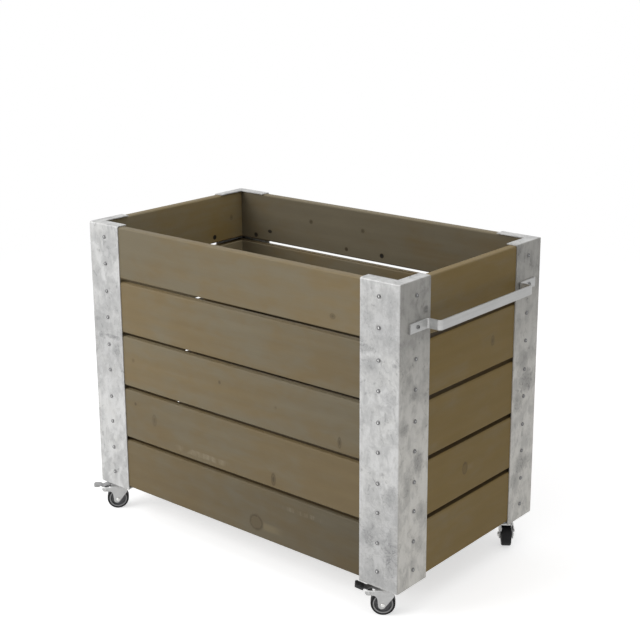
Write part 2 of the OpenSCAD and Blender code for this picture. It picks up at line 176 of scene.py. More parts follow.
# Stained pine, weathered in broad olive and grey drifts
timberLook = {
    "brown": (0.216, 0.160, 0.080),
    "grey": (0.203, 0.170, 0.109),
    "endBrown": (0.214, 0.146, 0.047),
    "knot": (0.048, 0.033, 0.014),
    "hole": (0.006, 0.005, 0.004),  # the heart of a loose knot
    "eyeBrown": (0.090, 0.060, 0.025),  # the inside of a wide knot
    "flare": (0.250, 0.195, 0.105),  # pale wood beside a wide knot
    "bleachAndHighlight": (0.34, 0.28, 0.18),
    "edge": 0.003,  # eased upper edge, bleached by the sun and lightened further by a painted highlight
    "topEdge": 0.22,  # how far it is lightened, on the top board
    "lowEdge": 0.03,
    "ringTurn": 170,  # of the year rings, in radians per metre
    "ringWander": 0.055,
    "ringLean": 0.25,
    "ringTint": 0.03,
    "endDrift": 0.5,  # how much fainter the grey drifts are at the ends
    "innerEdge": (0.003, 0.0005),  # the inner sides' painted light and shade starts and is full this far from that side
    "upperEdge": (0.0015, 0.0002),  # the same for the upper edge's painted light and shade in the gaps
    "rough": 0.66,
    "relief": 0.0005,
}

# Patterns in the wood: changes per metre along, up and through the board, shift, detail, roughness, bend
timberPatterns = {
    "wave": ((1.3, 5, 3), 1, 1.0, 0.5, 0.0),
    "rings": ((2, 60, 40), 1, 3.0, 0.5, 0.0),
    "fibres": ((9, 800, 800), 1, 2.0, 0.6, 0.0),
    "streaks": ((3.2, 110, 90), -1, 3.0, 0.55, 0.0),
    "cloud": ((4.2, 8, 8), 2, 2.0, 0.5, 0.4),
    "patch": ((15, 34, 20), -1, 2.0, 0.6, 0.3),
}
flowing = ("rings", "fibres", "streaks")  # these part round the knots
timberTints = {"rings": 0.08, "fibres": 0.10, "streaks": 0.10, "cloud": 0.12, "patch": 0.10}
timberDrifts = {"cloud": 2.0, "patch": 1.3}  # how far each moves the wood between brown and grey
streakDrift = 0.5

# Each board, lowest first: how grey at its low end and its high end, and how light at each
boardTones = {
    "front": [(0.15, 0.65, 0.81, 0.47), (0.85, -0.35, 0.83, 0.74), (0.65, 0.65, 1.00, 0.73),
              (0.25, 0.65, 0.97, 0.77), (0.90, 0.15, 0.86, 0.98)],
    "back": [(0.5, 0.4, 0.80, 0.88), (0.6, 0.3, 0.90, 0.86), (0.3, 0.7, 0.92, 0.98),
             (0.45, 0.5, 0.95, 0.95), (1.0, 0.75, 0.95, 0.95)],
    "left": [(0.4, 0.6, 0.85, 0.90), (0.5, 0.3, 0.95, 0.90), (0.6, 0.4, 0.95, 1.0),
             (0.7, 0.9, 1.0, 0.95), (0.60, 0.45, 1.0, 1.0)],
    "right": [(0.15, 0.1, 1.0, 1.0), (0.2, 0.25, 1.0, 1.0), (0.3, 0.15, 1.0, 1.0),
              (0.1, 0.2, 1.02, 1.0), (0.35, 0.1, 0.98, 1.0)],
}
innerLightAndShade = {"front": 0.9, "back": 0.76, "left": 1.50, "right": 0.95}  # painted light and shade on the sides towards the soil
innerRowShading = (0.40, 0.40, 0.50, 1.20, 1.0)  # the same, painted shade row by row, darkest on the lower rows
gapTone = {  # upper edges between the boards: painted light on the front of the lower board's top, which the board above shades, and painted shade deeper in
    "rise": 85,  # how fast the painted light grows, per metre inward
    # colour of the painted shade deep in the gap
    "gapShade": (0.100, 0.066, 0.024),
    "from": (0.0080, 0.0095, 0.0115, 0.013),  # where the painted shade starts, row by row
    "fromEnd": 0.002,  # the same at the ends
    "soft": 0.0015,
}

# Knots: along from the board's low end, above the lowest board's foot, radius (metres),
# height over width, and how dark
boardKnots = {
    "front": [
        (0.492, 0.033, 0.017, 0.95, 1.2), (0.543, 0.145, 0.0055, 2.2, 1.5), (0.393, 0.324, 0.003, 1.2, 1.5),
        (0.123, 0.315, 0.004, 1.0, 0.9), (0.552, 0.305, 0.003, 1.1, 0.9), (0.703, 0.528, 0.006, 0.8, 1.2),
        (0.72, 0.272, 0.004, 2.6, 1.4), (0.186, 0.187, 0.006, 2.0, 1.0), (0.125, 0.212, 0.003, 1.1, 1.5),
    ],
    "back": [
        (0.405, 0.569, 0.0045, 1.0, 1.5), (0.356, 0.518, 0.004, 1.0, 2.4), (0.461, 0.518, 0.0045, 1.0, 4.0),
        (0.066, 0.511, 0.0045, 1.0, 4.0), (0.113, 0.526, 0.005, 0.7, 4.0), (0.247, 0.569, 0.0045, 1.0, 1.7),
        (0.61, 0.31, 0.008, 1.1, 1.2), (0.3, 0.19, 0.006, 1.3, 1.0), (0.72, 0.06, 0.01, 1.0, 1.3),
    ],
    "left": [
        (0.353, 0.515, 0.0045, 1.0, 4.0), (0.413, 0.555, 0.0045, 1.3, 1.0), (0.14, 0.41, 0.006, 1.2, 1.0),
        (0.31, 0.16, 0.01, 1.0, 1.3), (0.2, 0.29, 0.004, 1.6, 1.0),
    ],
    "right": [
        (0.298, 0.433, 0.006, 1.6, 1.1), (0.207, 0.183, 0.008, 1.5, 1.0), (0.38, 0.29, 0.003, 1.2, 0.9),
        (0.4, 0.07, 0.004, 1.2, 0.9),
    ],
}

# Shape of a knot, measured in its own radii: from and to, or the four corners of a band
knotLook = {
    "wide": 0.007,  # knots at least this wide, in metres, show their rings
    "alongSpread": 9,
    "upSpread": 4,
    "parting": 0.75,  # how far the fibres go round it
    "core": (0.3, 1.1),
    "coreDark": 0.5,
    "rim": (0.65, 1.0, 1.0, 1.45),
    "rimDark": 0.40,
    "haloDark": 0.10,
    "ragged": (90, 90, 90),
    "raggedness": 0.5,
    "wideRim": (0.60, 0.95, 1.00, 1.35),
    "eye": (0.8, 1.0),
    "eyeTurn": 15,
    "eyeDark": 0.10,
    "fill": (0.9, 1.4),
    "fillBrown": 0.35,
    "flareAlong": (1.0, 1.4, 2.5, 5.0),
    "flareDrop": 0.2,
    "flareUp": (0.2, 0.75),
    "flarePale": 0.35,
    "dark": (0.0, 1.3),
    "holeDark": (1.1, 1.9),
}

# Planer chatter: side, row, middle along and above the foot, half length, half height, how pale
chatterMarks = [
    ("front", 2, 0.335, 0.142, 0.090, 0.008, 0.60),
    ("front", 1, 0.620, 0.090, 0.060, 0.006, 0.30),
]
chatterLook = {
    "colour": (0.44, 0.39, 0.29),
    "pitch": 0.0038,
    "patches": (60, 25, 0),
    "patchEdge": (0.35, 0.65),
    "waver": (30, 0, 0),
    "waverShare": 0.6,
    "dash": 0.9,
    "endFrom": 0.6,  # share of the half length and of the half height where the strokes start to fade
    "sideFrom": 0.5,
}


class Board:  # one board's place and the coordinates on it
    def __init__(self, wood, side, row):
        low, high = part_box(f"{side}_board_{row}")
        x, y, z = wood.place()
        self.wood, self.side, self.row = wood, side, row
        self.isLong = side in ("front", "back")
        self.along = x - low.x if self.isLong else y - low.y
        self.length = high.x - low.x if self.isLong else high.y - low.y
        self.thick = high.y - low.y if self.isLong else high.x - low.x
        self.inward = {"front": y - low.y, "back": high.y - y, "left": x - low.x, "right": high.x - x}[side]
        self.rise = z - timberFoot
        self.bottom, self.top = low.z - timberFoot, high.z - timberFoot
        self.seed = row * 1.7 + sides.index(side) * 11.3


def knotsOn(board):  # the height that the fibres follow, and how dark, brown and pale the knots are
    look, wood, along, rise = knotLook, board.wood, board.along, board.rise
    flow = rise
    dark = brown = pale = 0.0
    for at, up, radius, tall, depth in boardKnots[board.side]:
        if not board.bottom < up < board.top:
            continue
        across = (along - at) / radius
        height = (rise - up) / (radius * tall)
        near = 1 / (1 + across * across / look["alongSpread"] + height * height / look["upSpread"])
        flow = flow - (rise - up) * near * look["parting"]
        reach = (across * across + height * height) ** 0.5
        if radius > look["wide"]:
            ragged = wood.pattern((along, rise, board.inward), look["ragged"], (0, 0, 0), 2.0)
            reach = reach + (ragged - 0.5) * look["raggedness"]
            rim = wood.band(reach, *look["wideRim"]) * ragged
            eye = wood.fade(reach, *look["eye"]) * (reach * look["eyeTurn"]).sine()
            dark = (rim + eye * look["eyeDark"]) * depth + dark
            brown = wood.fade(reach, *look["fill"]) * look["fillBrown"] * depth + brown
            beside = wood.band(across, *look["flareAlong"])
            pale = beside * wood.fade(abs(height + look["flareDrop"]), *look["flareUp"]) + pale
            continue
        core = wood.fade(reach, *look["core"]) * look["coreDark"]
        rim = wood.band(reach, *look["rim"]) * look["rimDark"]
        dark = (core + rim + near * near * look["haloDark"]) * depth + dark
    return flow, dark, brown, pale


def chatterOn(board, colour):  # rows of short pale strokes that the planer left
    look, wood, along, rise = chatterLook, board.wood, board.along, board.rise
    spot = (along, rise, 0.0)
    for side, row, at, up, halfLength, halfHeight, pale in chatterMarks:
        if (side, row) != (board.side, board.row):
            continue
        dashes = wood.smooth((along * (2 * math.pi / look["pitch"])).sine(), 0.0, look["dash"])
        patchy = wood.smooth(wood.pattern(spot, look["patches"], (0, 0, 0), 1.0), *look["patchEdge"])
        waver = wood.pattern((along, 0.0, 0.0), look["waver"], (0, 0, 0), 2.0) - 0.5
        ends = wood.fade(abs(along - at), halfLength * look["endFrom"], halfLength)
        offLine = abs(rise - up + waver * halfHeight * look["waverShare"])
        marked = dashes * patchy * ends * wood.fade(offLine, halfHeight * look["sideFrom"], halfHeight)
        colour = wood.mix(marked * pale, colour, look["colour"])
    return colour


def boardTimber(side, row):
    look = timberLook
    wood = newFinish(f"{side}_board_{row}_timber")
    board = Board(wood, side, row)
    flow, knotDark, knotBrown, knotPale = knotsOn(board)
    grain = {}
    for name, (scales, turn, *settings) in timberPatterns.items():
        spot = (board.along, flow if name in flowing else board.rise, board.inward)
        grain[name] = wood.pattern(spot, scales, (board.seed * turn, 0, 0), *settings)
    years = flow + grain["wave"] * look["ringWander"] + board.inward * look["ringLean"]
    ringLines = (years * look["ringTurn"]).sine()

    greyLow, greyHigh, toneLow, toneHigh = boardTones[side][row - 1]
    share = board.along / board.length
    drift = sum((grain[name] - 0.5) * amount for name, amount in timberDrifts.items())
    drift = drift * (1.0 if board.isLong else look["endDrift"])
    grey = greyLow + share * (greyHigh - greyLow) + (grain["streaks"] - 0.5) * streakDrift + drift
    brown = look["brown"] if board.isLong else look["endBrown"]
    colour = wood.mix(wood.smooth(grey, 0.0, 1.0), brown, look["grey"])
    # Painted light and shade on the inner sides, for how light reaches into the box
    inner = wood.smooth(board.inward, *(board.thick - inset for inset in look["innerEdge"]))
    shade = toneLow + share * (toneHigh - toneLow) + inner * (innerLightAndShade[side] * innerRowShading[row - 1] - 1)
    shade = shade + ringLines * grain["rings"] * look["ringTint"]
    shade = shade + sum((grain[name] - 0.5) * amount for name, amount in timberTints.items())
    if row == topRow:
        colour = wood.tint(colour, shade)
    else:
        upper = wood.smooth(board.rise, *(board.top - inset for inset in look["upperEdge"]))
        # Painted light on the lower board's shaded top face, then painted shade deeper in the gap
        colour = wood.tint(colour, shade * (1 + upper * board.inward * gapTone["rise"]))
        gapShadeFrom = gapTone["from"][row - 1] if board.isLong else gapTone["fromEnd"]
        deep = wood.smooth(board.inward, gapShadeFrom, gapShadeFrom + gapTone["soft"])
        colour = wood.mix(upper * deep, colour, gapTone["gapShade"])
    if knotBrown:  # 0 on a board without a wide knot
        colour = wood.mix(knotBrown, colour, look["eyeBrown"])
        colour = wood.mix(knotPale * knotLook["flarePale"], colour, look["flare"])
    colour = wood.mix(wood.smooth(knotDark, *knotLook["dark"]), colour, look["knot"])
    colour = wood.mix(wood.smooth(knotDark, *knotLook["holeDark"]), colour, look["hole"])
    colour = chatterOn(board, colour)
    # Sun-bleached upper edge, with a painted highlight along it
    bleachAndHighlight = wood.smooth(board.rise, board.top - look["edge"], board.top - look["edge"] * 0.3)
    colour = wood.mix(bleachAndHighlight * look["topEdge" if row == topRow else "lowEdge"], colour, look["bleachAndHighlight"])
    relief = grain["fibres"] * 0.4 + grain["streaks"] * 0.7 + ringLines * 0.1 - knotDark * 0.5
    return wood.close(
        Base_Color=colour,
        Roughness=look["rough"] + (grain["streaks"] - 0.5) * 0.25 - knotDark * 0.10,
        Specular_IOR_Level=0.3,
        Normal=wood.bump(relief, look["relief"], 0.4),
    )


# Sawn boards and bearers under the soil
floorLook = {
    "pale": (0.165, 0.128, 0.078),
    "dark": (0.105, 0.080, 0.048),
    "streaks": (3, 90, 90),
    "fibres": (9, 700, 700),
    "saw": (160, 6, 6),
    "rough": 0.72,
    "relief": 0.0008,
}


def sawnTimber(name):
    look = floorLook
    low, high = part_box(name)
    wood = newFinish(name + "_timber")
    x, y, z = wood.place()
    isWide = high.x - low.x > high.y - low.y
    spot = (x, y, z) if isWide else (y, x, z)
    seed = low.x * 9
    streaks = wood.pattern(spot, look["streaks"], (seed, 0, 0), 3.0, 0.6)
    fibres = wood.pattern(spot, look["fibres"], (0, seed, 0), 2.0, 0.6)
    saw = wood.pattern(spot, look["saw"], (0, 0, 0), 1.0)
    colour = wood.mix(streaks, look["dark"], look["pale"])
    return wood.close(
        Base_Color=wood.tint(colour, 0.95 + (fibres - 0.5) * 0.3 + (saw - 0.5) * 0.12),
        Roughness=look["rough"] + (streaks - 0.5) * 0.2,
        Normal=wood.bump(fibres * 0.6 + saw * 0.5, look["relief"], 0.6),
    )


# Hot-dip zinc: soft clouds, small dull blots and faint runs down the sheet
zincLook = {
    "light": (0.650, 0.650, 0.644),
    "middle": (0.435, 0.436, 0.435),
    "blot": (0.270, 0.270, 0.272),
    "warm": (0.600, 0.595, 0.572),
    "endShadeTint": (1.0, 0.975, 0.925),  # painted shade: the right end's faces are tinted a little warmer
    "endShade": 0.42,  # and darkened towards their tops by this much, as painted shade
    "endShadeFrom": (0.30, 0.70),
    "endEdge": (0.0025, 0.0005),  # where they start, in from the right end
    "dull": (0.42, 0.62),
    "blotted": (0.54, 0.72),
    "blotDrifts": (0.42, 0.58),
    "warmDrifts": (0.35, 0.65),
    "faceDepth": (0.002, 0.003),  # a handling mark stays on the face it is on
    "markEdge": (0.5, 1.5),
    "clouds": 21.0,
    "drifts": (44, 44, 26),
    "blots": (75, 75, 60),
    "runs": (150, 150, 8),
    "spangle": 330.0,
    "veins": 55.0,
    "metallic": 0.25,
    "rough": 0.50,
    "relief": 0.0005,
}

# Handling marks on the posts: in from the fold, up from the ground, half width, half height, how dark
smudges = {
    "front_right_front": [(0.080, 0.619, 0.006, 0.012, 0.4), (0.083, 0.558, 0.016, 0.009, 0.6),
                          (0.070, 0.528, 0.018, 0.014, 0.5), (0.040, 0.501, 0.012, 0.015, 0.5),
                          (0.024, 0.471, 0.014, 0.014, 0.5), (0.035, 0.447, 0.022, 0.006, 0.5),
                          (0.040, 0.150, 0.070, 0.120, 0.45), (0.020, 0.270, 0.016, 0.020, 0.5),
                          (0.018, 0.150, 0.014, 0.045, 0.5), (0.075, 0.170, 0.014, 0.020, 0.4),
                          (0.045, 0.610, 0.070, 0.060, 0.35)],
    "front_right_end": [(0.078, 0.632, 0.007, 0.006, 1.0), (0.030, 0.504, 0.008, 0.010, 0.6),
                        (0.045, 0.467, 0.013, 0.009, 0.6), (0.082, 0.461, 0.005, 0.004, 0.8),
                        (0.015, 0.408, 0.014, 0.010, 0.7), (0.063, 0.326, 0.014, 0.020, 0.9),
                        (0.028, 0.285, 0.010, 0.035, 0.5), (0.072, 0.224, 0.012, 0.016, 0.6),
                        (0.070, 0.155, 0.012, 0.018, 0.5)],
    "front_left_front": [(0.063, 0.436, 0.022, 0.005, 0.7), (0.025, 0.435, 0.008, 0.009, 0.6),
                         (0.015, 0.471, 0.008, 0.005, 0.6), (0.081, 0.620, 0.004, 0.007, 0.5),
                         (0.073, 0.408, 0.012, 0.014, 0.6), (0.030, 0.665, 0.020, 0.012, 0.3),
                         (0.050, 0.420, 0.070, 0.090, 0.35)],
    "back_right_end": [(0.060, 0.440, 0.020, 0.016, 0.7), (0.040, 0.385, 0.024, 0.022, 1.0),
                       (0.070, 0.345, 0.016, 0.020, 0.8), (0.050, 0.200, 0.024, 0.018, 0.9),
                       (0.075, 0.165, 0.014, 0.016, 0.7)],
}


def smudgesOn(zinc, corner, x, y, z, ragged):  # how strongly the handling marks show
    marked = 0.0
    fromEnd = postHigh.x - x if corner.endswith("right") else x - postLow.x
    fromLong = postHigh.y - y if corner.startswith("back") else y - postLow.y
    for face, inward, depth in (("_front", fromEnd, fromLong), ("_end", fromLong, fromEnd)):
        for at, up, wide, tall, dark in smudges.get(corner + face, []):
            across = (inward - at) / wide
            height = (z - up) / tall
            spread = (across * across + height * height) ** 0.5
            onFace = zinc.fade(depth, *zincLook["faceDepth"])
            marked = zinc.fade(spread + ragged, *zincLook["markEdge"]) * onFace * dark + marked
    return marked


def galvanisedSheet(corner, seed):
    look = zincLook
    zinc = newFinish(corner + "_zinc")
    x, y, z = zinc.place()
    spot = zinc.vector(x + seed, y - seed, z)
    clouds = zinc.noise(spot, look["clouds"], 3.0, 0.6, 0.5)
    spangle = zinc.noise(spot, look["spangle"], 2.0, 0.6)
    winding = zinc.noise(spot, look["veins"], 4.0, 0.6, 1.2)
    drifts = zinc.pattern((x, y, z), look["drifts"], (seed, 0, 0), 4.0, 0.65, 0.6)
    blots = zinc.pattern((x, y, z), look["blots"], (0, seed, 0), 3.0, 0.65, 0.8)
    runs = zinc.pattern((x, y, z), look["runs"], (seed, 0, 0), 3.0, 0.6)
    dull = zinc.smooth(clouds * 0.5 + drifts * 0.5, *look["dull"])
    blotted = zinc.smooth(blots, *look["blotted"]) * zinc.smooth(drifts, *look["blotDrifts"])
    veins = zinc.fade(abs(winding - 0.5), 0.004, 0.05)
    ragged = (blots - 0.5) * 2.2 + (drifts - 0.5) * 1.6
    marked = smudgesOn(zinc, corner, x, y, z, ragged) * (0.85 + veins * 0.60)
    colour = zinc.mix(zinc.smooth(drifts, *look["warmDrifts"]) * 0.6, look["light"], look["warm"])
    colour = zinc.mix(dull * 0.80, colour, look["middle"])
    colour = zinc.mix(blotted * 0.65 + marked * 0.70, colour, look["blot"])
    shade = 1 + (runs - 0.5) * 0.16 + (spangle - 0.5) * 0.16
    # Painted shade on the right end faces: a warmer tint, and darker towards their tops
    if corner.endswith("right"):
        onEnd = zinc.smooth(x, *(postHigh.x - inset for inset in look["endEdge"]))
        shade = shade * (1 - onEnd * zinc.smooth(z, *look["endShadeFrom"]) * look["endShade"])
        colour = zinc.mix(onEnd, colour, zinc.cast(colour, look["endShadeTint"]))
    return zinc.close(
        Base_Color=zinc.tint(colour, shade),
        Metallic=look["metallic"] + (clouds - 0.5) * 0.15,
        Roughness=look["rough"] + (blotted + marked) * 0.10 + (spangle - 0.5) * 0.10,
        Normal=zinc.bump(clouds * 0.4 + spangle * 0.25 + runs * 0.15, look["relief"], 0.30),
    )


# Even finishes: noise settings of grain and patches, and how much they change the material
finishLooks = {
    "steel": {
        "grain": (300.0, 3.0, 0.6),
        "patches": (51.0, 2.0, 0.5, 0.8),
        "grainTint": 0.20,
        "patchTint": 0.35,
        "patchRough": 0.20,
        "specular": 0.5,
        "grainHeight": 0.30,
    },
    "plastic": {
        "grain": (900.0, 2.0, 0.5),
        "patches": (90.0, 3.0, 0.6),
        "grainTint": 0.0,
        "patchTint": 0.25,
        "patchRough": 0.15,
        "specular": 0.5,
        "grainHeight": 0.30,
    },
    "rubber": {
        "grain": (1500.0, 2.0, 0.5),
        "patches": (130.0, 3.0, 0.6),
        "grainTint": 0.0,
        "patchTint": 0.0,
        "patchRough": 0.25,
        "specular": 0.25,
        "grainHeight": 0.35,
    },
}
grainDepth = 0.0002
# colour of a painted highlight on the fork's crown
highlightZinc = (0.90, 0.90, 0.89)
dustLook = {"colour": (0.035, 0.033, 0.031), "from": (0.45, 0.75), "most": 0.25}  # on the tyres


def evenFinish(name, kind, colour, rough, metallic=0.0, highlightBand=None):
    look = finishLooks[kind]
    finish = newFinish(name)
    x, y, z = finish.place()
    spot = finish.vector(x, y, z)
    grain = finish.noise(spot, *look["grain"])
    patches = finish.noise(spot, *look["patches"])
    if highlightBand:  # the heights between which a painted highlight lightens the plating
        colour = finish.mix(finish.smooth(z, *highlightBand), colour, highlightZinc)
    if kind == "rubber":
        dusty = finish.smooth(patches, *dustLook["from"]) * dustLook["most"]
        colour = finish.mix(dusty, colour, dustLook["colour"])
    shade = 1 + (grain - 0.5) * look["grainTint"] + (patches - 0.5) * look["patchTint"]
    return finish.close(
        Base_Color=finish.tint(colour, shade),
        Metallic=metallic,
        Roughness=rough + (patches - 0.5) * look["patchRough"],
        Specular_IOR_Level=look["specular"],
        Normal=finish.bump(grain, grainDepth, look["grainHeight"]),
    )


# A part is (vertices, faces) until addPiece makes an object of it
def newMesh(name, part):
    verts, faces = part
    mesh = bpy.data.meshes.new(name)
    mesh.from_pydata([tuple(v) for v in verts], [], faces)
    return mesh


def newObject(name, data):  # an object that is in the scene
    holder = bpy.data.objects.new(name, data)
    bpy.context.scene.collection.objects.link(holder)
    return holder


def addPiece(name, part, materials, body, replaced, smoothAngle=35, faceMaterial=None):
    mesh = newMesh(name, part)
    for material in materials:
        mesh.materials.append(material)
    if faceMaterial:
        mesh.polygons.foreach_set("material_index", faceMaterial)
    work = bmesh.new()
    work.from_mesh(mesh)
    bmesh.ops.recalc_face_normals(work, faces=work.faces)
    work.to_mesh(mesh)
    work.free()
    mesh.shade_smooth()
    mesh.set_sharp_from_angle(angle=math.radians(smoothAngle))
    piece = newObject(name, mesh)
    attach(piece, body)
    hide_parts(replaced)


def merge(*parts):
    verts, faces = [], []
    for partVerts, partFaces in parts:
        first = len(verts)
        verts += partVerts
        faces += [[first + i for i in face] for face in partFaces]
    return verts, faces


def moved(part, matrix):
    verts, faces = part
    return [matrix @ Vector(v) for v in verts], faces


def lathe(profile, steps):  # (radius, height) points turned round Z; a radius of 0 closes an end
    verts, faces, rings = [], [], []
    for radius, height in profile:
        count = steps if radius > 1e-7 else 1
        rings.append(range(len(verts), len(verts) + count))
        for k in range(count):
            turn = 2 * math.pi * k / steps
            verts.append(Vector((radius * math.cos(turn), radius * math.sin(turn), height)))
    for low, high in zip(rings, rings[1:]):
        for k in range(steps):
            n = (k + 1) % steps
            around = [low[k % len(low)], low[n % len(low)], high[n % len(high)], high[k % len(high)]]
            face = list(dict.fromkeys(around))
            if len(face) > 2:
                faces.append(face)
    return verts, faces


def loft(loops):  # closed loops of as many points each, joined, with flat ends
    verts, faces = [], []
    count = len(loops[0])
    for loop in loops:
        verts += [Vector(p) for p in loop]
    for k in range(len(loops) - 1):
        for i in range(count):
            n = (i + 1) % count
            faces.append([k * count + i, k * count + n, (k + 1) * count + n, (k + 1) * count + i])
    faces.append(list(range(count))[::-1])
    faces.append([len(verts) - count + i for i in range(count)])
    return verts, faces


def grid(columns):  # rows of points joined to a sheet
    verts = [Vector(p) for column in columns for p in column]
    count = len(columns[0])
    starts = [i * count + j for i in range(len(columns) - 1) for j in range(count - 1)]
    return verts, [[a, a + count, a + count + 1, a + 1] for a in starts]


def roundedPath(points, radii, steps=7):  # a flat line with an arc at each inner corner
    path = [Vector(points[0])]
    for before, corner, after, radius in zip(points, points[1:], points[2:], radii):
        corner = Vector(corner)
        inward = (Vector(before) - corner).normalized()
        outward = (Vector(after) - corner).normalized()
        half = inward.angle(outward) / 2
        middle = corner + (inward + outward).normalized() * radius / math.sin(half)
        start = corner + inward * radius / math.tan(half) - middle
        end = corner + outward * radius / math.tan(half) - middle
        sweep = math.atan2(start.x * end.y - start.y * end.x, start.dot(end))
        path += [middle + Matrix.Rotation(sweep * k / steps, 2) @ start for k in range(steps + 1)]
    path.append(Vector(points[-1]))
    return path


def arc(middle, radius, first, last, steps=6):  # points from first to last, in degrees
    turns = [math.radians(first + (last - first) * k / steps) for k in range(steps + 1)]
    return [(middle[0] + radius * math.cos(t), middle[1] + radius * math.sin(t)) for t in turns]


def roundRect(width, height, radius):  # loop of (x, y) points about the middle
    loop = []
    for k, (right, up) in enumerate(((1, 1), (-1, 1), (-1, -1), (1, -1))):
        middle = (right * (width / 2 - radius), up * (height / 2 - radius))
        loop += arc(middle, radius, 90 * k, 90 * k + 90, 5)
    return loop


def roundedOff(radius, past):  # how far a quarter round has fallen away, that far past its start
    past = min(max(past, 0.0), radius)
    return radius - math.sqrt(radius ** 2 - past ** 2)


def thicken(part, sheet, ease):  # gives an open surface the sheet's thickness on its inner side
    mesh = newMesh("sheet", part)
    work = bmesh.new()
    work.from_mesh(mesh)
    bmesh.ops.remove_doubles(work, verts=work.verts, dist=2e-6)
    bmesh.ops.dissolve_degenerate(work, edges=work.edges, dist=1e-6)
    work.to_mesh(mesh)
    work.free()
    holder = newObject("sheet", mesh)
    shell = holder.modifiers.new("shell", "SOLIDIFY")
    shell.thickness = sheet
    shell.offset = -1
    shell.use_even_offset = True
    edges = holder.modifiers.new("edges", "BEVEL")
    edges.width = ease
    edges.segments = 2
    edges.limit_method = "ANGLE"
    edges.angle_limit = math.radians(50)
    done = holder.evaluated_get(bpy.context.evaluated_depsgraph_get()).to_mesh()
    result = [v.co.copy() for v in done.vertices], [list(p.vertices) for p in done.polygons]
    bpy.data.objects.remove(holder)
    bpy.data.meshes.remove(mesh)
    return result


def hexNut(across, low, high, bore, chamfer=0.0007):  # hexagon with turned corners, point to point across
    flat = across / 2 * math.cos(math.radians(30))
    edge = [(bore, low), (flat, low), (across / 2, low + chamfer), (across / 2, high - chamfer),
            (flat, high), (bore, high), (bore, low)]
    loops = []
    for limit, z in edge:
        loop = []
        for turn in range(0, 360, 6):
            side = flat / math.cos(math.radians((turn + 30) % 60 - 30))
            radius = min(limit, side)
            loop.append((radius * math.cos(math.radians(turn)), radius * math.sin(math.radians(turn)), z))
        loops.append(loop)
    verts, faces = loft(loops)
    return verts, faces[:-2]  # without the loft's flat ends


def paint(node, material):
    for holder in frame["nodes"][node].material_slots:
        holder.material = material


for side in sides:
    for row in rows:
        paint(f"{side}_board_{row}", boardTimber(side, row))
for name in frame["nodes"]:
    if name.startswith("floor_board") or name.endswith("_bearer"):
        paint(name, sawnTimber(name))
print("timber stained")

for k, corner in enumerate(corners):
    paint(corner + "_post", galvanisedSheet(corner, 3.1 * k + 0.7))
# a painted highlight along the top of the fork's crown
forkZinc = evenFinish("fork_zinc", "steel", (0.50, 0.50, 0.495), 0.34, 0.5, (0.0535, 0.0555))
cupZinc = evenFinish("cup_zinc", "steel", (0.50, 0.50, 0.495), 0.36, 0.5)
boltZinc = evenFinish("bolt_zinc", "steel", (0.74, 0.74, 0.72), 0.28, 0.7)
screwRim = evenFinish("screw_rim", "steel", (0.21, 0.21, 0.21), 0.40, 0.5)
# Painted shade on the recess walls and a painted highlight on the recess floor
screwRecessShade = evenFinish("screw_recess_shade", "steel", (0.04, 0.04, 0.04), 0.6, 0.3)
screwFloorHighlight = evenFinish("screw_bright", "steel", (0.80, 0.80, 0.79), 0.35, 0.6)
pedalZinc = evenFinish("pedal_zinc", "steel", (0.34, 0.34, 0.34), 0.36, 0.5)
pedalDark = evenFinish("pedal_dark", "steel", (0.13, 0.13, 0.13), 0.32, 0.5)
hubGrey = evenFinish("hub_grey", "plastic", (0.13, 0.13, 0.135), 0.5)
rimGrey = evenFinish("rim_grey", "plastic", (0.34, 0.34, 0.34), 0.45)
sleeveBlack = evenFinish("sleeve_black", "plastic", (0.018, 0.018, 0.019), 0.5)
tyreBlack = evenFinish("tyre_black", "rubber", (0.009, 0.009, 0.010), 0.62)
print("metal, plastic and rubber mixed")


# The flat-bar handle, galvanised, with a painted highlight at its bends
handleLook = {
    "metal": (0.52, 0.52, 0.512),
    "paleAndHighlight": (0.72, 0.72, 0.71),
    "highlightReach": 0.010,  # to either side of a bend
    "scuffs": (60, 9, 160),
    "patches": 42.0,
    "metallic": 0.5,
    "rough": 0.40,
    "relief": 0.0004,
    "thick": 0.004,
    "edge": 0.0008,
    "bendRadius": 0.006,  # to the middle of the bar
    "bendFromTip": 0.058,
}


def handleSteel(bendAt, middle):
    look = handleLook
    steel = newFinish("handle_zinc")
    x, y, z = steel.place()
    scuffs = steel.pattern((x, y, z), look["scuffs"], (0, 0, 0), 4.0, 0.65)
    patches = steel.noise(steel.vector(x, y, z), look["patches"], 3.0, 0.6, 0.8)
    # Painted highlight at the bends; random patches lighten it too
    bend = steel.fade(abs(abs(y - middle) - bendAt), 0.0, look["highlightReach"])
    colour = steel.mix(bend * 0.6 + (patches - 0.5) * 0.5, look["metal"], look["paleAndHighlight"])
    return steel.close(
        Base_Color=steel.tint(colour, 0.95 + (scuffs - 0.5) * 0.35),
        Metallic=look["metallic"],
        Roughness=look["rough"] + (patches - 0.5) * 0.25,
        Normal=steel.bump(scuffs, look["relief"], 0.3),
    )


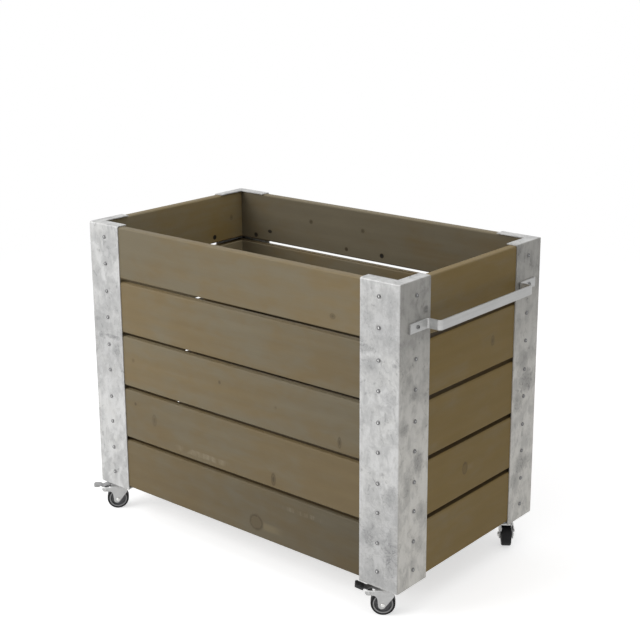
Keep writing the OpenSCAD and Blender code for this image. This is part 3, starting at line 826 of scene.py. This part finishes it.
def bendHandle():
    look = handleLook
    low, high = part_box("handle")
    half = look["thick"] / 2
    middle = (low.y + high.y) / 2
    legIn = look["bendFromTip"]
    tabX, gripX = low.x + half, high.x - half
    points = [(tabX, low.y), (tabX, low.y + legIn), (gripX, low.y + legIn),
              (gripX, high.y - legIn), (tabX, high.y - legIn), (tabX, high.y)]
    path = roundedPath(points, [look["bendRadius"]] * 4)
    section = roundRect(look["thick"], high.z - low.z, look["edge"])
    up = (low.z + high.z) / 2
    loops = []
    for k, point in enumerate(path):
        ahead = (path[min(k + 1, len(path) - 1)] - path[max(k - 1, 0)]).normalized()
        loops.append([(point.x - ahead.y * a, point.y + ahead.x * a, up + b) for a, b in section])
    steel = handleSteel((high.y - low.y) / 2 - legIn, middle)
    addPiece("handle_bar", loft(loops), [steel], "root", "handle")


bendHandle()
print("handle bent")


# Pan-head screws with a six-lobed recess
screwLook = {
    "fromCorner": 0.050,  # metres from the outer edge of the corner post
    "pitch": 0.061,
    "headRadius": 0.00425,
    "headHeight": 0.0028,
    "domeFoot": 0.35,  # share of the head's height that is straight
    "domeTurns": (0, 18, 36, 50, 60),
    "shankRadius": 0.0020,
    "tipRadius": 0.0004,
    "length": 0.019,
    "recessRadius": 0.0021,
    "recessDepth": 0.0008,
    "recessTaper": 0.86,
    "lobes": 6,
    "lobeShare": 0.16,
    "twist": 2.4,  # radians from one screw to the next
    "bearerLength": 0.042,
    "bearerFirst": 0.109,  # from the end of the bearer
    "bearerCount": 5,
}


def screwShape(length):
    look = screwLook
    steps = 36
    radius, height, shank = look["headRadius"], look["headHeight"], look["shankRadius"]
    tip, foot = look["tipRadius"], look["domeFoot"]
    turns = [math.radians(turn) for turn in look["domeTurns"]]
    dome = [(radius * math.cos(turn), height * (foot + (1 - foot) * math.sin(turn))) for turn in turns]
    lip = dome[-1][1] + 0.0001
    profile = [(0, -length), (tip, -length), (shank, 2 * shank - length), (shank, 0), (radius, 0)] + dome
    verts, faces = lathe(profile, steps)
    last = len(verts) - steps
    for depth, share in ((0, 1), (-look["recessDepth"], look["recessTaper"])):
        for k in range(steps):
            turn = 2 * math.pi * k / steps
            reach = look["recessRadius"] * share * (1 + look["lobeShare"] * math.cos(look["lobes"] * turn))
            verts.append(Vector((reach * math.cos(turn), reach * math.sin(turn), lip + depth)))
    verts.append(Vector((0, 0, lip - look["recessDepth"] - 0.0001)))
    marks = [0] * (len(faces) + steps) + [1] * steps + [2] * steps
    for ring in (last, last + steps):
        for k in range(steps):
            n = (k + 1) % steps
            faces.append([ring + k, ring + n, ring + steps + n, ring + steps + k])
    for k in range(steps):
        faces.append([last + 2 * steps + k, last + 2 * steps + (k + 1) % steps, len(verts) - 1])
    return (verts, faces), marks


def screwSpots(side):  # place and outward direction of each screw on one side
    look = screwLook
    out = {"front": (0, -1, 0), "back": (0, 1, 0), "left": (-1, 0, 0), "right": (1, 0, 0)}[side]
    spots = []
    for row in rows:
        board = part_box(f"{side}_board_{row}")
        middle = (board[0].z + board[1].z) / 2
        for up in (middle - look["pitch"] / 2, middle + look["pitch"] / 2):
            for corner, inset in ((postLow, look["fromCorner"]), (postHigh, -look["fromCorner"])):
                x, y = corner.x + inset, corner.y + inset
                place = {"front": (x, postLow.y, up), "back": (x, postHigh.y, up),
                         "left": (postLow.x, y, up), "right": (postHigh.x, y, up)}[side]
                spots.append((Vector(place), Vector(out)))
    return spots


# bright is the recess floor's material: a painted highlight unless another is given
def driveScrews(name, spots, length, bright=screwFloorHighlight):
    shape, marks = screwShape(length)
    parts = []
    for k, (place, out) in enumerate(spots):
        twist = Matrix.Rotation(k * screwLook["twist"], 4, "Z")
        turn = out.to_track_quat("Z", "Y").to_matrix().to_4x4()
        parts.append(moved(shape, Matrix.Translation(place) @ turn @ twist))
    metals = [screwRim, screwRecessShade, bright]
    addPiece(name + "_turned", merge(*parts), metals, "root", name, 40, marks * len(spots))


def bearerSpots():
    look = screwLook
    spots = []
    for name, out in (("front_bearer", 1), ("back_bearer", -1)):
        low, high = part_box(name)
        step = (high.x - low.x - 2 * look["bearerFirst"]) / (look["bearerCount"] - 1)
        for k in range(look["bearerCount"]):
            x = low.x + look["bearerFirst"] + k * step
            place = Vector((x, high.y if out > 0 else low.y, (low.z + high.z) / 2))
            spots.append((place, Vector((0, out, 0))))
    return spots


handleUp = (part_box("handle")[0].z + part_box("handle")[1].z) / 2
onBar = [spot for spot in screwSpots("right") if abs(spot[0].z - handleUp) < handleLook["thick"]]
offBar = [spot for spot in screwSpots("right") if spot not in onBar]
for side in ("front", "back", "left"):
    driveScrews(side + "_screws", screwSpots(side), screwLook["length"])
driveScrews("right_screws", offBar, screwLook["length"])
# the handle screws' recess floor gets the painted shade too
driveScrews("handle_screws", [(place + out * handleLook["thick"], out) for place, out in onBar],
            screwLook["length"] + handleLook["thick"], screwRecessShade)
driveScrews("bearer_screws", bearerSpots(), screwLook["bearerLength"])
print("screws driven")


# Swivel caster: its own axes have X behind the swivel, Y across and Z up from the ground
casterLook = {
    "wheelRadius": 0.025,
    "wheelSteps": 96,  # facets round the wheel
    "rimRadius": 0.0205,
    "axleRadius": 0.003,
    "forkWidth": 0.031,
    "crown": 0.056,  # top of the fork
}


def casterPlace(corner):
    swivel = Vector(joints[corner + "_swivel_turn"]["pos_m"])
    back = Vector(joints[corner + "_wheel_spin"]["pos_m"]) - swivel
    back.z = 0
    back.normalize()
    up = Vector((0, 0, 1))
    turn = Matrix((back, up.cross(back), up)).transposed().to_4x4()
    return Matrix.Translation((swivel.x, swivel.y, 0)) @ turn


def wheelPlace(corner):  # the wheel's own axes: Z is the axle
    swivel = Vector(joints[corner + "_swivel_turn"]["pos_m"])
    spin = Vector(joints[corner + "_wheel_spin"]["pos_m"])
    trail = math.hypot(spin.x - swivel.x, spin.y - swivel.y)
    onSide = Matrix.Rotation(math.radians(-90), 4, "X")
    return casterPlace(corner) @ Matrix.Translation((trail, 0, spin.z)) @ onSide


def ringProfile(side):  # both halves of a ring's outline, from (radius, half width) points
    return side + [(radius, -half) for radius, half in reversed(side) if half > 0] + side[:1]


tyreLook = {
    "width": 0.021,
    "bead": 0.0004,  # where the side meets the rim
    "shoulder": 0.0028,
    "shoulderShare": 0.98,
    "shoulderTurns": (90, 8),
    "treadShare": 0.45,  # share of the width that is nearly flat
    "treadDrop": 0.00003,
}


def makeTyre(corner):
    look = tyreLook
    outer, rim = casterLook["wheelRadius"], casterLook["rimRadius"]
    half, bead, shoulder = look["width"] / 2, look["bead"], look["shoulder"]
    bend = arc((outer - shoulder, half - shoulder), shoulder * look["shoulderShare"], *look["shoulderTurns"])
    tread = [(outer - look["treadDrop"], half * look["treadShare"]), (outer, 0)]
    side = [(rim, half - bead), (rim + bead, half)] + bend + tread
    part = moved(lathe(ringProfile(side), casterLook["wheelSteps"]), wheelPlace(corner))
    addPiece(corner + "_tyre_rubber", part, [tyreBlack], corner + "_wheel", corner + "_tyre")


hubLook = {
    "air": 0.00005,  # between bore and axle
    "boss": [(0.0068, 0.0127), (0.0075, 0.0120), (0.0080, 0.0062)],  # (radius, half width) points
    "web": [(0.0088, 0.0054), (0.0112, 0.0052), (0.0117, 0.0060), (0.0127, 0.0060),
            (0.0132, 0.0050), (0.0160, 0.0052), (0.0174, 0.0084)],
    "ring": [(0.0178, 0.0100), (0.0190, 0.0103), (0.0203, 0.0100), (0.0205, 0.0094)],
}


def makeHub(corner):
    look = hubLook
    inner = look["boss"] + look["web"]
    side = [(casterLook["axleRadius"] + look["air"], inner[0][1])] + inner + look["ring"]
    profile = ringProfile(side)
    part = lathe(profile, casterLook["wheelSteps"])
    pale = range(len(inner) + 1, len(side) - 1)  # the bands of the rim ring on one side
    bands = [int(k in pale or len(profile) - 3 - k in pale) for k in range(len(profile) - 1)]
    marks = [mark for mark in bands for k in range(casterLook["wheelSteps"])]
    addPiece(corner + "_hub_moulding", moved(part, wheelPlace(corner)), [hubGrey, rimGrey], corner + "_wheel",
             corner + "_hub", 40, marks)


forkLook = {
    "sheet": 0.0025,
    "foldRadius": 0.0035,
    "crownEnd": 0.036,  # where the crown stops and the wings go on
    "lead": -0.002,  # leading edge of the legs
    "leadTurn": 0.0440,  # height at which the leading edge turns back
    "leadRadius": 0.003,
    "toe": (0.0277, 0.0043),  # where the two edges of a leg would meet
    "toeRadius": 0.0073,
    "heel": (0.0319, 0.0458),
    "heelRadius": 0.010,
    "wing": 0.056,  # tip of the wings
    "wingLow": 0.046,
    "wingRadii": (0.0062, 0.0030),  # lower and upper corner
    "ease": 0.0004,
    "capUnder": 0.00005,  # the round cap lies this far inside the fold
    "capDepth": 0.0029,
}


def forkOutline():  # (x, z) along the lower edge, with stops at the swivel axis and the crown's end
    look = forkLook
    crown = casterLook["crown"]
    points = [(look["lead"], crown), (look["lead"], look["leadTurn"]), look["toe"], look["heel"],
              (look["wing"], look["wingLow"]), (look["wing"], crown)]
    radii = (look["leadRadius"], look["toeRadius"], look["heelRadius"], look["wingRadii"][0])
    edge = roundedPath(points, radii, 9)[1:-1]
    stops = []
    for first, second in zip(edge, edge[1:]):
        stops.append(first)
        for x in (0.0, look["crownEnd"]):
            if first.x < x < second.x:
                stops.append(first.lerp(second, (x - first.x) / (second.x - first.x)))
    return stops + [edge[-1]]


def makeFork(corner):
    look = forkLook
    half, crown = casterLook["forkWidth"] / 2, casterLook["crown"]
    sheet, radius = look["sheet"], look["foldRadius"]
    bend = (half - radius, crown - radius)  # middle of the fold, seen from behind
    slotTurn = math.acos(1 - sheet / radius)  # fold angle at the crown's slot
    foldLength = radius * slotTurn
    noseRadius = look["wingRadii"][1]
    stops = forkOutline()

    def onSection(x, side, s):  # s runs down the outside from the slot's edge
        if s < foldLength:
            turn = slotTurn - s / radius
            return (x, side * (bend[0] + radius * math.cos(turn)), bend[1] + radius * math.sin(turn))
        return (x, side * half, bend[1] - (s - foldLength))

    parts = []
    for side in (-1, 1):
        columns = []
        for stop in stops:
            top = roundedOff(noseRadius, stop.x - look["wing"] + noseRadius)
            bottom = foldLength + bend[1] - stop.y
            stations = [max(top, foldLength * k / 6) for k in range(7)]
            stations += [stations[-1] + (bottom - stations[-1]) * k / 4 for k in range(1, 5)]
            columns.append([onSection(stop.x, side, s) for s in stations])
        parts.append(grid(columns if side > 0 else [column[::-1] for column in columns]))
    columns = []
    for stop in stops:
        if -1e-9 < stop.x < look["crownEnd"] + 1e-9:
            fold = arc(bend, radius, math.degrees(slotTurn), 90, 2)
            flat = [(bend[0] * k / 3, crown) for k in (2, 1, 0)]
            right = [(stop.x, y, z) for y, z in fold + flat]
            columns.append(right + [(x, -y, z) for x, y, z in right[-2::-1]])
    parts.append(grid([column[::-1] for column in columns]))
    pressing = thicken(merge(*parts), sheet, look["ease"])

    rim = arc(bend, radius - look["capUnder"], 90, 20, 5)
    foot = crown - look["capDepth"]
    skirt = [(half - sheet, rim[-1][1]), (half - sheet, foot)]
    cap = [(0, crown - look["capUnder"])] + rim + skirt + [(0, foot)]
    part = moved(merge(pressing, lathe(cap, 64)), casterPlace(corner))
    addPiece(corner + "_fork_pressing", part, [forkZinc], corner + "_swivel", corner + "_fork")


axleLook = {
    "end": 0.0034,  # how far the thread comes out of the fork
    "chamfer": 0.0005,
    "headRadius": 0.0042,
    "headRim": 0.0006,
    "headHeight": 0.0030,
    "domeRadius": 0.0056,
    "domeTurns": (43, 88),
    "nut": 0.0112,
    "nutFrom": 0.0004,
    "nutTo": 0.0030,
    "washerRadius": 0.0062,
    "washerThick": 0.0005,
}


def makeAxle(corner):
    look = axleLook
    half, radius = casterLook["forkWidth"] / 2, casterLook["axleRadius"]
    end, chamfer = -half - look["end"], look["chamfer"]
    shaft = [(0, end), (radius - chamfer, end), (radius, end + chamfer), (radius, half), (0, half)]
    wide, top = look["headRadius"], half + look["headHeight"]
    dome = arc((0, top - look["domeRadius"]), look["domeRadius"], *look["domeTurns"], 7)
    head = [(0, half), (wide, half), (wide, half + look["headRim"])] + dome + [(0, top)]
    nut = hexNut(look["nut"], -half - look["nutTo"], -half - look["nutFrom"], radius)
    wide, under = look["washerRadius"], -half - look["washerThick"]
    washer = [(radius, -half), (wide, -half), (wide, under), (radius, under)]
    bolt = merge(lathe(shaft, 32), lathe(head, 40), nut, lathe(washer, 40))
    addPiece(corner + "_axle_bolt", moved(bolt, wheelPlace(corner)), [boltZinc], corner + "_swivel",
             corner + "_axle")


# Rocker pedal: its inner tip frees the brake and its outer tip sets it
pedalLook = {
    "line": [(0.024, 0.059), (0.036, 0.0612), (0.046, 0.0580)],  # up to the dip before the tip
    "tips": {
        "front_left": [(0.0545, 0.0548), (0.0600, 0.0588), (0.0749, 0.0594)],
        "front_right": [(0.0525, 0.0552), (0.0580, 0.0572), (0.0735, 0.0640)],
    },
    "bends": (0.008, 0.006, 0.004, 0.004),
    "lip": {"front_left": 0.0032, "front_right": 0.0},  # how far the tip's edges are turned down
    "lipFrom": 0.0600,
    "lipRise": 0.006,  # length over which the lip grows
    "lipRoot": (0.0003, 0.0012),  # its top and its least depth
    "lipThin": 0.8,
    "lipEase": 0.0003,
    "width": 0.019,
    "across": (1, 0.75, 0.4, 0, -0.4, -0.75, -1),
    "sheet": 0.002,
    "ease": 0.00035,
    "tipRound": 0.0050,
    "heelRound": 0.0030,
    "pivot": (0.047, 0.050),
    "pinRadius": 0.002,
    "pinOut": 0.0015,  # how far the pin's head stands out of the fork
    "pinDome": 0.0039,
    "camWidth": 0.014,
    "camRadius": 0.004,
    "camTip": 0.0025,
    "camReach": 0.009,
    "camAim": -125.2,  # degrees in the side view
    "camNeck": (0.0048, 0.0062),  # how high it reaches into the plate, outer and inner edge
}


def along(path, distance):  # the point that far along a line
    for first, second in zip(path, path[1:]):
        step = (second - first).length
        if distance <= step:
            return first.lerp(second, distance / step)
        distance -= step
    return path[-1]


def pedalPlate(corner):
    look = pedalLook
    path = roundedPath(look["line"] + look["tips"][corner], look["bends"])
    length = sum((b - a).length for a, b in zip(path, path[1:]))
    half, tip, heel = look["width"] / 2, look["tipRound"], look["heelRound"]
    turns = [math.pi / 2 * k / 5 for k in range(6)]
    stations = [heel * (1 - math.cos(t)) for t in turns]
    stations += [heel + (length - heel - tip) * k / 40 for k in range(1, 40)]
    stations += [length - tip * (1 - math.cos(t)) for t in reversed(turns)]
    columns = []
    for s in stations:
        wide = half - roundedOff(heel, heel - s) - roundedOff(tip, s - length + tip)
        point = along(path, s)
        columns.append([(point.x, y * wide, point.y) for y in look["across"]])
    plate = thicken(grid(columns), look["sheet"], look["ease"])
    deep = look["lip"][corner]
    if not deep:
        return plate
    edge = [column[0] for column in columns if column[0][0] > look["lipFrom"]]
    edge += [(x, -y, z) for x, y, z in reversed(edge)]
    top, least = look["lipRoot"]
    band = []
    for x, y, z in edge:
        foot = min(deep, least + (x - look["lipFrom"]) * deep / look["lipRise"])
        band.append([(x, y, z - top), (x, y, z - foot)])
    return merge(plate, thicken(grid(band), look["sheet"] * look["lipThin"], look["lipEase"]))


def camFinger():
    look = pedalLook
    x, z = look["pivot"]
    half = look["camWidth"] / 2
    aim = Matrix.Rotation(math.radians(look["camAim"]), 2)
    reach, tip, body = look["camReach"], look["camTip"], look["camRadius"]
    lean = math.degrees(math.acos((body - tip) / reach))
    finger = arc((0, 0), body, lean, 360 - lean, 20) + arc((reach, 0), tip, -lean, lean, 10)
    outer, inner = look["camNeck"]
    neck = [(-body, 0), (body, 0), (body, outer), (-body, inner)]
    outlines = [aim @ Vector(point) for point in finger], neck
    return merge(*[loft([[(x + a, y, z + b) for a, b in line] for y in (-half, half)]) for line in outlines])


def makePedal(name, corner):
    look = pedalLook
    x, z = look["pivot"]
    half = casterLook["forkWidth"] / 2
    pinRadius, dome = look["pinRadius"], look["pinDome"]
    head = arc((0, half + look["pinOut"] - dome), dome, 40, 90, 5)
    pin = lathe([(0, 0), (pinRadius, 0), (pinRadius, half + 0.0001)] + head, 28)
    place = Matrix.Translation((x, 0, z))
    pins = [moved(pin, place @ Matrix.Rotation(math.radians(turn), 4, "X")) for turn in (90, -90)]
    rocker = merge(pedalPlate(corner), camFinger())
    part = moved(merge(rocker, *pins), casterPlace(corner))
    marks = [0] * len(rocker[1]) + [1] * (len(part[1]) - len(rocker[1]))
    metal = {"front_left": pedalZinc, "front_right": pedalDark}[corner]
    addPiece(name + "_rocker", part, [metal, forkZinc], corner + "_brake", name, 35, marks)


# Plastic sleeve on the right pedal, ribbed across its top
sleeveLook = {
    "length": 0.0185,
    "width": 0.024,
    "wall": 0.0025,
    "corner": 0.0033,
    "leastCorner": 0.0008,
    "mouth": 0.0004,  # length of the bevel at the inner end
    "mouthShrink": 0.0005,
    "noseShrink": 0.9,
    "ribs": (0.0030, 0.0012),  # from the mouth and from the rounded nose
    "rib": 0.0024,
    "ribDepth": 0.0002,
    "ribSteps": 40,
    "ribAbove": 0.3,  # share of the height over which the ribs show
}


def makeSleeve():
    look = sleeveLook
    bend, tip = (Vector(point) for point in pedalLook["tips"]["front_right"][-2:])
    sheet, length, nose, mouth = pedalLook["sheet"], look["length"], look["corner"], look["mouth"]
    tall = sheet + 2 * look["wall"]
    tilt = math.atan2(tip.y - bend.y, tip.x - bend.x)
    ribStart, ribEnd = look["ribs"][0], length - nose - look["ribs"][1]
    steps = look["ribSteps"]
    stations = [0, mouth] + [ribStart + (ribEnd - ribStart) * k / steps for k in range(steps + 1)]
    stations += [length - nose * (1 - math.sin(math.pi / 2 * k / 6)) for k in range(7)]
    loops = []
    for s in stations:
        shrink = look["mouthShrink"] if s < mouth else 0.0
        shrink += roundedOff(nose, s - length + nose) * look["noseShrink"]
        groove = 0.0
        if ribStart < s < ribEnd:
            groove = look["ribDepth"] * (0.5 - 0.5 * math.cos(2 * math.pi * (s - ribStart) / look["rib"]))
        radius = max(look["leastCorner"], nose - shrink)
        loop = []
        for y, z in roundRect(look["width"] - 2 * shrink, tall - 2 * shrink, radius):
            sunk = groove if z > tall * look["ribAbove"] else 0
            loop.append((s - length + look["wall"], y, z - sheet / 2 - sunk))
        loops.append(loop)
    place = Matrix.Translation((tip.x, 0, tip.y)) @ Matrix.Rotation(-tilt, 4, "Y")
    part = moved(loft(loops), casterPlace("front_right") @ place)
    addPiece("pedal_sleeve_moulding", part, [sleeveBlack], "front_right_brake",
             "pedal_sleeve", 50)


# Pressed swivel cups and king pins, all fixed to the posts' foot plates
cupLook = {
    "air": 0.0003,  # over the fork's crown
    "bore": 0.00505,
    "foot": 0.0125,
    "beadOut": 0.0138,
    "beadRadius": 0.0022,
    "beadsUp": (0.0022, 0.0058),
    "neck": (0.0140, 0.0090),
    "flange": [(0.0144, 0.0022), (0.0155, 0.0018), (0.0186, 0.0016), (0.0190, 0.0011), (0.0190, 0)],
}


def makeSwivelHeads():
    look = cupLook
    low, plate = casterLook["crown"] + look["air"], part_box("swivel_heads")[1].z
    bore, beadOut, beadRadius = look["bore"], look["beadOut"], look["beadRadius"]
    first, second = (low + up for up in look["beadsUp"])
    profile = [(bore, low), (look["foot"], low)]
    profile += arc((beadOut, first), beadRadius, -80, 0, 5) + arc((beadOut, second), beadRadius, 0, 80, 5)
    profile += [(look["neck"][0], low + look["neck"][1])]
    profile += [(radius, plate - down) for radius, down in look["flange"]] + [(bore, plate), (bore, low)]
    parts = [moved(lathe(profile, 64), casterPlace(corner)) for corner in corners]
    addPiece("swivel_cups", merge(*parts), [cupZinc], "root", "swivel_heads")


kingPinLook = {
    "radius": 0.005,
    "above": 0.009,  # length above the foot plate
    "chamfer": 0.0007,
    "headRadius": 0.0078,
    "headHeight": 0.0022,
    "headEdge": 0.0010,
    "nut": 0.019,
    "nutHeight": 0.006,
    "nutChamfer": 0.0010,
}


def makeKingPins():
    look = kingPinLook
    low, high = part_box("king_pins")
    radius, chamfer, wide, edge = look["radius"], look["chamfer"], look["headRadius"], look["headEdge"]
    foot, headHigh = high.z - look["above"], low.z + look["headHeight"]
    pin = [(0, low.z)] + arc((wide - edge, low.z + edge), edge, -90, 0, 4)
    pin += [(wide, headHigh), (radius, headHigh)]
    pin += [(radius, high.z - chamfer), (radius - chamfer, high.z), (0, high.z)]
    nut = hexNut(look["nut"], foot, foot + look["nutHeight"], radius, look["nutChamfer"])
    single = merge(lathe(pin, 48), nut)
    parts = [moved(single, casterPlace(corner)) for corner in corners]
    addPiece("king_pins_and_nuts", merge(*parts), [boltZinc], "root", "king_pins")


for corner in corners:
    makeTyre(corner)
    makeHub(corner)
    makeFork(corner)
    makeAxle(corner)
makePedal("front_left_pedal", "front_left")
makePedal("front_right_pedal", "front_right")
makeSleeve()
makeSwivelHeads()
makeKingPins()
print("casters built")


stageLook = {
    "floorRings": (1.5, 4.0, 40.0),
    "whiteFrom": 1.2,  # metres from the middle, for the camera
    "whiteAt": 3.0,
    "floor": (0.80, 0.80, 0.80),
    "lift": 0.60,  # glow that carries the lit floor up to white for the camera
    "sky": 0.44,
    "skyCamera": 1.0,
    "aim": (0, 0, 0.35),
    "key": {"from": (-2.0, -3.3, 2.6), "size": 3.0, "power": 104},
    "top": {"from": (0.9, -0.2, 4.0), "size": 3.5, "power": 24},
}


def seesStage(graph):  # 1 for camera, glossy and transmission rays
    seen = 0.0
    for output in ("Is Camera Ray", "Is Glossy Ray", "Is Transmission Ray"):
        seen = graph.node("ShaderNodeLightPath", {}, {}, output) + seen
    return seen.maths("MINIMUM", seen, 1.0)


def makeFloor():
    look = stageLook
    white = full((1, 1, 1))
    ground = newFinish("studio_floor")
    x, y, z = ground.place()
    far = ground.smooth((x * x + y * y) ** 0.5, look["whiteFrom"], look["whiteAt"])
    lit = ground.node("ShaderNodeBsdfDiffuse", {}, {"Color": full(look["floor"])})
    lift = seesStage(ground) * look["lift"]
    glow = ground.node("ShaderNodeEmission", {}, {"Color": white, "Strength": lift})
    near = ground.node("ShaderNodeAddShader", {}, [lit, glow])
    plain = ground.node("ShaderNodeEmission", {}, {"Color": white, "Strength": 1.0})
    mixed = ground.node("ShaderNodeMixShader", {}, [seesStage(ground) * far, near, plain])
    ground.node("ShaderNodeOutputMaterial", {}, [mixed])
    mesh = newMesh("studio_floor", lathe([(0, 0)] + [(radius, 0) for radius in look["floorRings"]], 64))
    mesh.materials.append(ground.material)
    newObject("studio_floor", mesh)


def makeSky():
    world = bpy.data.worlds.new("studio_sky")
    bpy.context.scene.world = world
    world.use_nodes = True
    sky = Graph(world.node_tree)
    strength = stageLook["sky"] + seesStage(sky) * (stageLook["skyCamera"] - stageLook["sky"])
    light = sky.node("ShaderNodeBackground", {}, {"Color": full((1, 1, 1)), "Strength": strength})
    sky.node("ShaderNodeOutputWorld", {}, [light])


def makeLamp(name, look):
    lamp = bpy.data.lights.new(name, "AREA")
    lamp.shape = "DISK"
    lamp.size = look["size"]
    lamp.energy = look["power"]
    holder = newObject(name, lamp)
    holder.location = look["from"]
    aim = Vector(stageLook["aim"]) - holder.location
    holder.rotation_euler = aim.to_track_quat("-Z", "Y").to_euler()


cameraLook = {
    "place": (1.7860, -2.0809, 1.3208),
    "turn": 40.108,  # degrees to the left of +Y
    "down": 14.565,
    "lean": -0.266,
    "sensor": 36,  # mm
    "lens": 73.01,
    "shift": -0.08,
}


def makeCamera():
    look = cameraLook
    turn, down, lean = (math.radians(look[key]) for key in ("turn", "down", "lean"))
    camera = newObject("camera", bpy.data.cameras.new("camera"))
    camera.data.sensor_width = look["sensor"]
    camera.data.lens = look["lens"]
    camera.data.shift_y = look["shift"]
    place = Matrix.Translation(look["place"])
    for angle, axis in ((turn, "Z"), (math.pi / 2 - down, "X"), (lean, "Z")):
        place = place @ Matrix.Rotation(angle, 4, axis)
    camera.matrix_world = place
    bpy.context.scene.camera = camera


makeFloor()
makeSky()
makeLamp("key_lamp", stageLook["key"])
makeLamp("top_lamp", stageLook["top"])
makeCamera()
bpy.context.scene.view_settings.view_transform = "Standard"
print("stage set")
